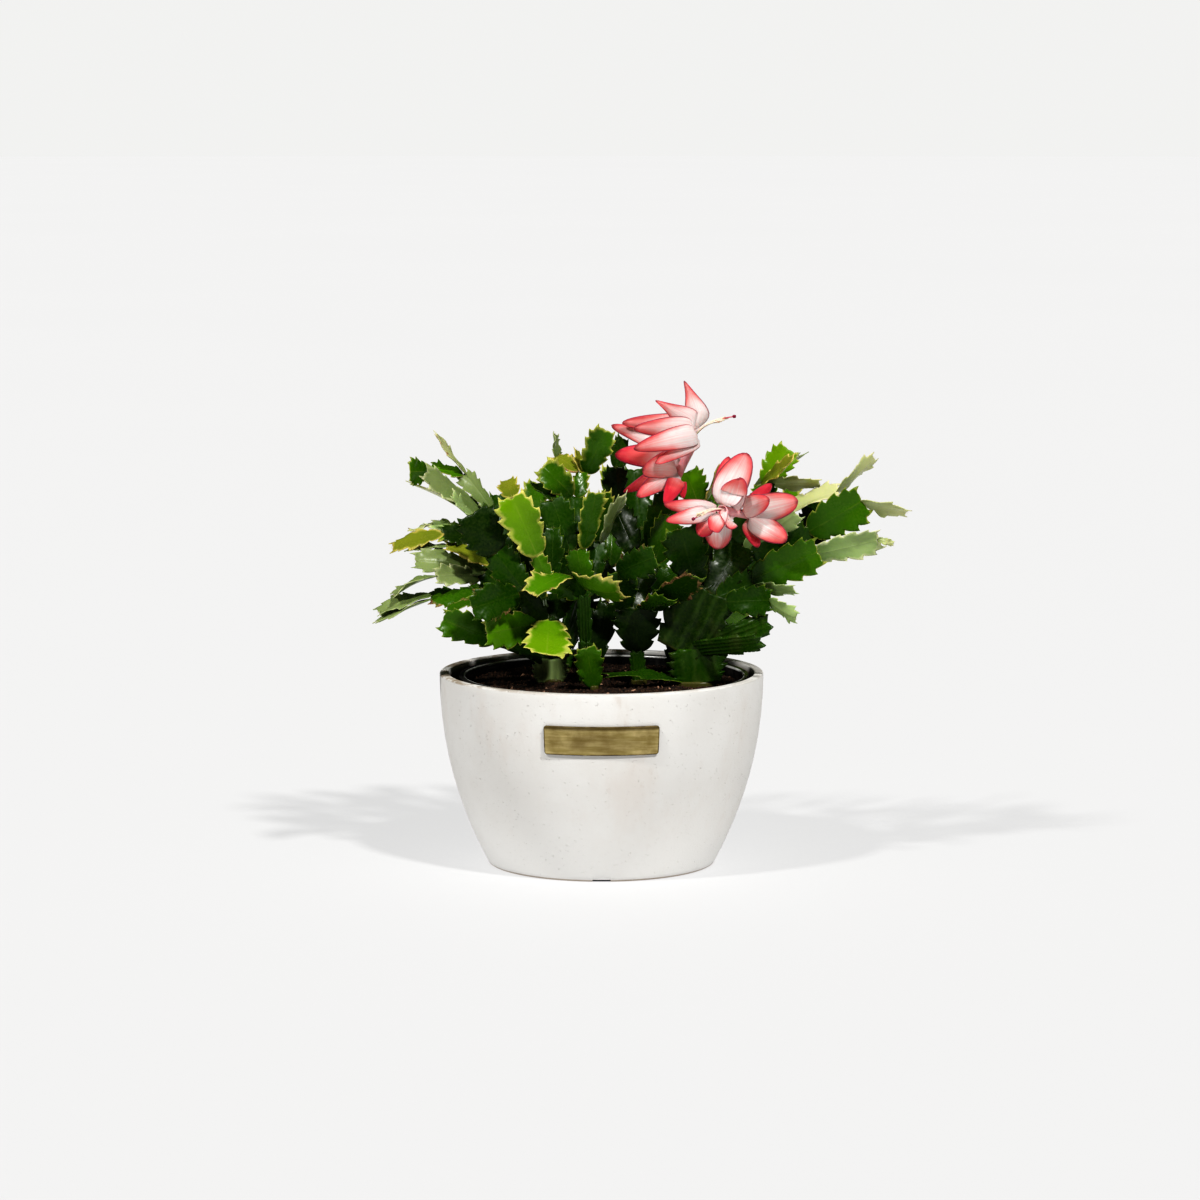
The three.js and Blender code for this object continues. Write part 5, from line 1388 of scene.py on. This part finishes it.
def petal_points(bloom):
    """One point for each petal, where it leaves the tube, which keeps what the unfolding tree reads."""
    start, end, axis, gape = bloom_lines(bloom)
    upper = [petal for petal in bloom["petals"] if petal[0] > RINGS["parting"]]
    lower = [petal for petal in bloom["petals"] if petal[0] <= RINGS["parting"]]
    rows = []
    for members, line, radius in ((upper, gape, RINGS["upper"]), (lower, axis, RINGS["lower"])):
        for petal, on_axis, aside in ring_places(members, start, end, line):
            _, x, z, depth, width, point, red = petal
            root = on_axis + aside * radius - line * RINGS["sunk"]
            tip = seen_at(x, z, depth)
            chord = tip - root
            bend = root + line * (chord.length * PETAL["lead"])
            at_tube = line.cross(chord).normalized()
            at_tip = chord.cross(SEEN_FROM - tip).normalized()
            if at_tip.dot(at_tube) < 0:
                at_tip.negate()
            rows.append((root * MM, bend * MM, tip * MM, at_tube, at_tip, width * MM, point, red))
    columns = list(zip(*rows))
    mesh = points_mesh(bloom["name"] + " petal points", columns[0])
    for label, values in zip(("root", "bend", "tip", "at tube", "at tip"), columns):
        keep(mesh, label, values, "FLOAT_VECTOR")
    for label, values in zip(("width", "point", "red"), columns[5:]):
        keep(mesh, label, values)
    dice = random.Random(bloom["seed"])
    keep(mesh, "phase", [dice.uniform(0, FULL_TURN) for _ in rows])
    return mesh


def unfolding_tree():
    """Unfolds one flat petal along each petal's own line, turned from the tube's side to its tip's."""
    inputs = {"Geometry": "Geometry", "Petal": "Object", "Half thickness": PETAL["half"] * MM,
              "Cup": PETAL["cup"], "Turned by": PETAL["turned"], "Ruffle": 0.06, "Finish": "Material"}
    tree, given, end = new_tree("unfolding petals", inputs)
    kept = kept_by(tree)
    shape = made(tree, "GeometryNodeObjectInfo", {"Object": given["Petal"]}, "Geometry")
    strewn = made(tree, "GeometryNodeInstanceOnPoints", {"Points": given["Geometry"], "Instance": shape})
    real = made(tree, "GeometryNodeRealizeInstances", {0: strewn})

    across, along, face = kept("petal", "FLOAT_VECTOR").parts()
    blunt, pointed, _ = kept("spreads", "FLOAT_VECTOR").parts()
    root, bend, tip, at_tube, at_tip = (
        kept(label, "FLOAT_VECTOR") for label in ("root", "bend", "tip", "at tube", "at tip"))
    point, width = kept("point"), kept("width")
    spread = blunt * point.inverse() + pointed * point
    rest = along.inverse()
    middle = root * (rest * rest) + bend * (rest * along * 2.0) + tip * (along * along)
    tangent = (bend - root) * rest + (tip - bend) * along
    turned_by = along.step("DIVIDE", given["Turned by"]).step("MINIMUM", 1.0)
    sideways = (at_tube * turned_by.inverse() + at_tip * turned_by).unit()
    facing = sideways.cross(tangent).unit()

    cup = across.size().power(1.7) * given["Cup"] * width * spread
    ripple = (along * 13.0 + kept("phase") + across * 2.0).sine() * across.power(2.0)
    ruffle = ripple * given["Ruffle"] * width * along.rise(0.3, 0.9)
    furrow = across.size().rise(0.0, 0.22).inverse() * width * -0.018
    lift = cup + ruffle + furrow + face * given["Half thickness"]
    placed = middle + sideways * (across * spread * width * 0.5) + facing * lift
    moved = made(tree, "GeometryNodeSetPosition", {"Geometry": real, "Position": placed})
    feed(end, made(tree, "GeometryNodeSetMaterial", {"Geometry": moved, "Material": given["Finish"]}))
    return tree


def silky_petal():
    finish = Finish("silky petal", Specular_IOR_Level=0.3, Subsurface_Weight=0.5, Subsurface_Scale=0.004,
                    Subsurface_Radius=(1.0, 0.5, 0.45), Sheen_Weight=0.1)
    across, along, _ = finish.value("petal", "Vector").parts()
    drift = (finish.noise(90, 3.0) - 0.5) * 0.5
    sockets = {0: across * 9.0, 1: along * 1.2, 2: finish.value("phase")}
    lines = made(finish.tree, "ShaderNodeCombineXYZ", sockets)
    streaks = finish.noise(1.6, 4.0, place=lines)
    side = across.size().power(2.6)
    red = finish.value("red")
    reach = along.rise(0.5, 1.08) * 0.9 + side * along.rise(0.15, 0.8) * 0.75 + drift + red * 0.9
    blush = (reach + (streaks - 0.5) * 0.3).rise(0.14, 1.02)
    colour = streaks.rise(0.3, 0.8).pick(paint(254, 230, 226), paint(251, 204, 201))
    colour = blush.pick(colour, paint(246, 104, 104))
    colour = ((reach + (streaks - 0.5) * 0.25).rise(0.85, 1.45) * 0.9).pick(colour, paint(216, 30, 60))
    margin = across.size().rise(0.87, 0.96) * along.rise(0.02, 0.3, 0.35, 0.85)
    colour = margin.pick(colour, paint(160, 24, 50))
    colour = (along.rise(0.955, 1.0) * 0.8).pick(colour, paint(128, 22, 44))
    height = streaks * 0.7 + finish.noise(1300, 2.0) * 0.2
    return finish.done(colour, streaks.rise(0.2, 0.8, 0.42, 0.6), height, 0.00025)


def make_tube(bloom):
    """The flower's tube, open at its mouth down to the throat's floor."""
    start, end, axis, _ = bloom_lines(bloom)
    length = (end - start).length
    outside = [(radius, share * length) for share, radius in TUBE_RADII]
    throat = length - THROAT_DEPTH
    inside = [(2.8, length * 0.93), (2.3, length - 4), (1.7, throat), (0, throat)]
    piece = turned(bloom["name"] + "_tube", [(0, 0)] + outside + inside, even_turns(24))
    keep(piece.data, "up the tube", [point.co.z / (length * MM) for point in piece.data.vertices])
    piece.data.transform(Matrix.Translation(start * MM) @ axis.to_track_quat("Z", "Y").to_matrix().to_4x4())
    return piece


def tube_skin():
    finish = Finish("flower tube skin", Subsurface_Weight=0.2, Subsurface_Scale=0.002)
    up = finish.value("up the tube")
    streaks = finish.mottle(300, 0.5, 0.2, 4.0)
    colour = up.rise(0.0, 0.12).pick(paint(150, 164, 96), paint(238, 196, 198))
    colour = (streaks * 0.5).pick(colour, paint(222, 120, 132))
    return finish.done(colour, streaks.rise(0.0, 1.0, 0.4, 0.55), streaks, 0.00015)


PETAL_FINISH = silky_petal()
TUBE_FINISH = tube_skin()
petal_shape = petal_pattern()
unfolding = unfolding_tree()
for bloom in BLOOMS:
    name = bloom["name"]
    petals = grown(name + "_petals", petal_points(bloom), unfolding, Petal=petal_shape, Finish=PETAL_FINISH)
    dress(petals, "petal", name)
    dress(make_tube(bloom), "petal", name, material=TUBE_FINISH)
bpy.data.objects.remove(petal_shape)


# STAMENS AND STYLES
# Inside each flower a bundle of cream threads, each with a pollen head, leans over one thicker magenta style.
# The style lies lowest in the mouth, reaches furthest and ends in a lobed stigma.

STAMENS = {"count": 26, "radius": 0.26, "head": 0.7, "steps": 9, "reach": 0.9, "shorter aside": 0.14,
           "above": 0.7, "foot aside": 0.5, "spread": 2.6, "spread aside": 0.7, "lower aside": 0.4,
           "bend out": 8, "bend up": 1.6, "bend aside": 1.3}
STYLE = {"radius": 0.36, "stigma": 1.15, "steps": 16, "below": 0.8, "passes out": 5.5, "passes below": 0.9}
THREAD_CLEARANCE = 0.3
POLLEN = (0.5, 0.42, 0.85)
LOBES = {"count": 6, "ring": 0.42, "size": (0.42, 0.42, 0.85), "lift": 0.1}


def threads_mesh(name, lines):
    """Open lines of points, as edges, which the thread tree turns to round threads."""
    points, edges = [], []
    for line in lines:
        edges += [(len(points) + i, len(points) + i + 1) for i in range(len(line) - 1)]
        points += [point * MM for point in line]
    return points_mesh(name, points, edges)


def thread_tree():
    """Round threads along open lines, each with its own end piece at its far end."""
    inputs = {"Geometry": "Geometry", "Radius": 0.0002, "End": "Object", "End size": 0.001,
              "Thread finish": "Material", "End finish": "Material"}
    tree, given, end = new_tree("threads with ends", inputs)
    lines = made(tree, "GeometryNodeMeshToCurve", {0: given["Geometry"]})
    ring = made(tree, "GeometryNodeCurvePrimitiveCircle", {"Resolution": 8, "Radius": given["Radius"]})
    rods = made(tree, "GeometryNodeCurveToMesh", {"Curve": lines, "Profile Curve": ring, "Fill Caps": True})
    last = made(tree, "GeometryNodeCurveEndpointSelection", {"Start Size": 0, "End Size": 1})
    shape = made(tree, "GeometryNodeObjectInfo", {"Object": given["End"]}, "Geometry")
    tangent = made(tree, "GeometryNodeInputTangent")
    turn = made(tree, "FunctionNodeAlignRotationToVector", {"Vector": tangent}, axis="Z")
    sockets = {"Points": lines, "Selection": last, "Instance": shape, "Rotation": turn,
               "Scale": given["End size"]}
    ends = made(tree, "GeometryNodeInstanceOnPoints", sockets)
    both = put(tree, "GeometryNodeJoinGeometry")
    for part, finish in ((ends, "End finish"), (rods, "Thread finish")):
        sockets = {"Geometry": part, "Material": given[finish]}
        feed(both.inputs[0], made(tree, "GeometryNodeSetMaterial", sockets))
    feed(end, made(tree, "GeometryNodeRealizeInstances", {0: Wire(both.outputs[0])}))
    return tree


def bloom_frame(bloom):
    """What a bloom's threads are placed by: mouth, stigma, tube line, throat floor and the way up."""
    _, mouth, axis, _ = bloom_lines(bloom)
    floor = mouth + axis * (THREAD_CLEARANCE - THROAT_DEPTH)
    above = Vector((0, 0, 1))
    above = (above - axis * above.dot(axis)).normalized()
    return mouth, seen_at(*bloom["stigma"]), axis, floor, above


def thread_line(start, toward, end, steps):
    return [bent(start, toward, end, step / steps) for step in range(steps + 1)]


def stamen_lines(bloom):
    """Threads side by side above the style, the middle ones longest, each a little different by chance."""
    mouth, stigma, axis, floor, above = bloom_frame(bloom)
    across = axis.cross(above)
    dice = random.Random(bloom["seed"] + 20)
    collar = floor + above * STAMENS["above"] + axis * (THROAT_DEPTH - 3)
    spread, out, up, aside = (STAMENS[label] for label in ("spread", "bend out", "bend up", "bend aside"))
    lines = []
    for i in range(STAMENS["count"]):
        place = 2 * i / (STAMENS["count"] - 1) - 1
        reach = STAMENS["reach"] * (1 - STAMENS["shorter aside"] * abs(place)) * dice.uniform(0.8, 1.0)
        high = dice.uniform(0.25, 1.0)
        lower = 1 - STAMENS["lower aside"] * place * place
        tip = mouth.lerp(stigma, reach) + above * (spread * lower * high)
        tip += across * (spread * STAMENS["spread aside"] * place)
        bend = mouth + axis * out + above * up * high + across * (aside * place)
        foot = collar - axis + across * (STAMENS["foot aside"] * place)
        lines.append(thread_line(foot, bend, tip, STAMENS["steps"]))
    return lines


def style_line(bloom):
    """One thread from under the stamens, out through the mouth, to where the stigma stands."""
    mouth, stigma, axis, floor, above = bloom_frame(bloom)
    foot = floor - above * STYLE["below"]
    passes = mouth + axis * STYLE["passes out"] - above * STYLE["passes below"]
    return [thread_line(foot, passes * 2 - (foot + stigma) / 2, stigma, STYLE["steps"])]


def pollen_head():
    form = bmesh.new()
    bmesh.ops.create_icosphere(form, subdivisions=1, radius=1.0)
    for point in form.verts:
        point.co = Vector(a * b for a, b in zip(point.co, POLLEN))
    return finished("pollen head", form)


def stigma_lobes():
    form = bmesh.new()
    for angle in even_turns(LOBES["count"]):
        at = (LOBES["ring"] * math.cos(angle), LOBES["ring"] * math.sin(angle), LOBES["lift"])
        lobe = Matrix.Translation(at) @ Matrix.Diagonal((*LOBES["size"], 1.0))
        bmesh.ops.create_icosphere(form, subdivisions=2, radius=1.0, matrix=lobe)
    return finished("stigma lobes", form)


def thread_finish(name, low, high, rough):
    finish = Finish(name, Subsurface_Weight=0.15, Subsurface_Scale=0.001)
    grain = finish.mottle(500, 0.5, 0.2, 3.0)
    return finish.done(grain.pick(low, high), grain.rise(0.0, 1.0, rough - 0.08, rough + 0.1), grain, 0.0001)


threading = thread_tree()
heads = pollen_head()
lobes = stigma_lobes()
cream = thread_finish("stamen cream", paint(250, 238, 220), paint(246, 222, 204), 0.5)
pollen = thread_finish("pollen", paint(246, 234, 200), paint(232, 210, 160), 0.85)
magenta = thread_finish("style pink", paint(226, 130, 140), paint(196, 60, 96), 0.4)
velvet = thread_finish("stigma velvet", paint(150, 10, 62), paint(112, 6, 44), 0.7)
for bloom in BLOOMS:
    name = bloom["name"]
    stamens = grown(name + "_threads", threads_mesh(name + " lines", stamen_lines(bloom)), threading,
                    Radius=STAMENS["radius"] * MM, End=heads, End_size=STAMENS["head"] * MM,
                    Thread_finish=cream, End_finish=pollen)
    dress(stamens, "stamen", name + "_stamens")
    style = grown(name + "_pistil", threads_mesh(name + " line", style_line(bloom)), threading,
                  Radius=STYLE["radius"] * MM, End=lobes, End_size=STYLE["stigma"] * MM,
                  Thread_finish=magenta, End_finish=velvet)
    dress(style, "style", name + "_style")
for shape in (heads, lobes):
    bpy.data.objects.remove(shape)


# FLOOR, LIGHT AND CAMERA
# The plant stands on a plain pale floor, under a pale sky that is brightest at the left. A key lamp high at
# the front right and a weaker one at the front left throw its soft shadows back, to both sides.

FLOOR = {"radius": 30.0, "drop": 0.0002, "glow": 0.445}
LAMPS = [("key lamp", 2.05, (-0.5, 0.72, -1.0)), ("fill lamp", 1.45, (0.7, 0.6, -1.0))]
LAMP_WIDTH = 5
CAMERA = {"place": (-0.00084, -2.2, 0.425), "looks down": 7.17, "lens": 118.47, "sensor": 36, "reach": 100}


def make_floor():
    form = bmesh.new()
    bmesh.ops.create_circle(form, cap_ends=True, segments=96, radius=FLOOR["radius"])
    floor = finished("floor", form)
    floor.location.z = -FLOOR["drop"]
    finish = Finish("pale floor", Roughness=0.9, Specular_IOR_Level=0.1, Emission_Strength=FLOOR["glow"],
                    Emission_Color=(1.0, 1.0, 1.0, 1.0))
    finish.wear(Base_Color=finish.noise(0.7).pick(paint(132, 132, 132), paint(129, 129, 129)))
    floor.data.materials.append(finish.material)


def make_light():
    for name, power, toward in LAMPS:
        lamp = stand(name, bpy.data.lights.new(name, "SUN"))
        lamp.data.energy = power
        lamp.data.angle = math.radians(LAMP_WIDTH)
        lamp.data.color = (1.0, 0.99, 0.975)
        lamp.rotation_euler = Vector(toward).to_track_quat("-Z", "Y").to_euler()
    world = bpy.data.worlds.new("white studio")
    world.use_nodes = True
    tree = world.node_tree
    sky = tree.nodes["Background"]
    x, _, z = made(tree, "ShaderNodeTexCoord", output="Generated").parts()
    bright = z.rise(0.0, 0.9, 0.13, 0.38) + (z * 0.5 - x).rise(0.2, 0.95, 0.0, 1.05)
    feed(sky.inputs["Strength"], bright + (z * 0.5 + x).rise(0.5, 1.05, 0.0, 0.3))
    seen = made(tree, "ShaderNodeBackground", {"Color": paint(208, 208, 207), "Strength": 1.0})
    by_camera = made(tree, "ShaderNodeLightPath", output="Is Camera Ray")
    both = made(tree, "ShaderNodeMixShader", {0: by_camera, 1: Wire(sky.outputs[0]), 2: seen})
    feed(tree.nodes["World Output"].inputs["Surface"], both)
    bpy.context.scene.world = world


def make_camera():
    camera = stand("camera", bpy.data.cameras.new("camera"))
    camera.location = CAMERA["place"]
    camera.rotation_euler = (math.radians(90 - CAMERA["looks down"]), 0, 0)
    camera.data.sensor_width = CAMERA["sensor"]
    camera.data.lens = CAMERA["lens"]
    camera.data.clip_end = CAMERA["reach"]
    bpy.context.scene.camera = camera


make_floor()
make_light()
make_camera()
bpy.context.scene.view_settings.view_transform = "Standard"
bpy.context.scene.view_settings.look = "High Contrast"
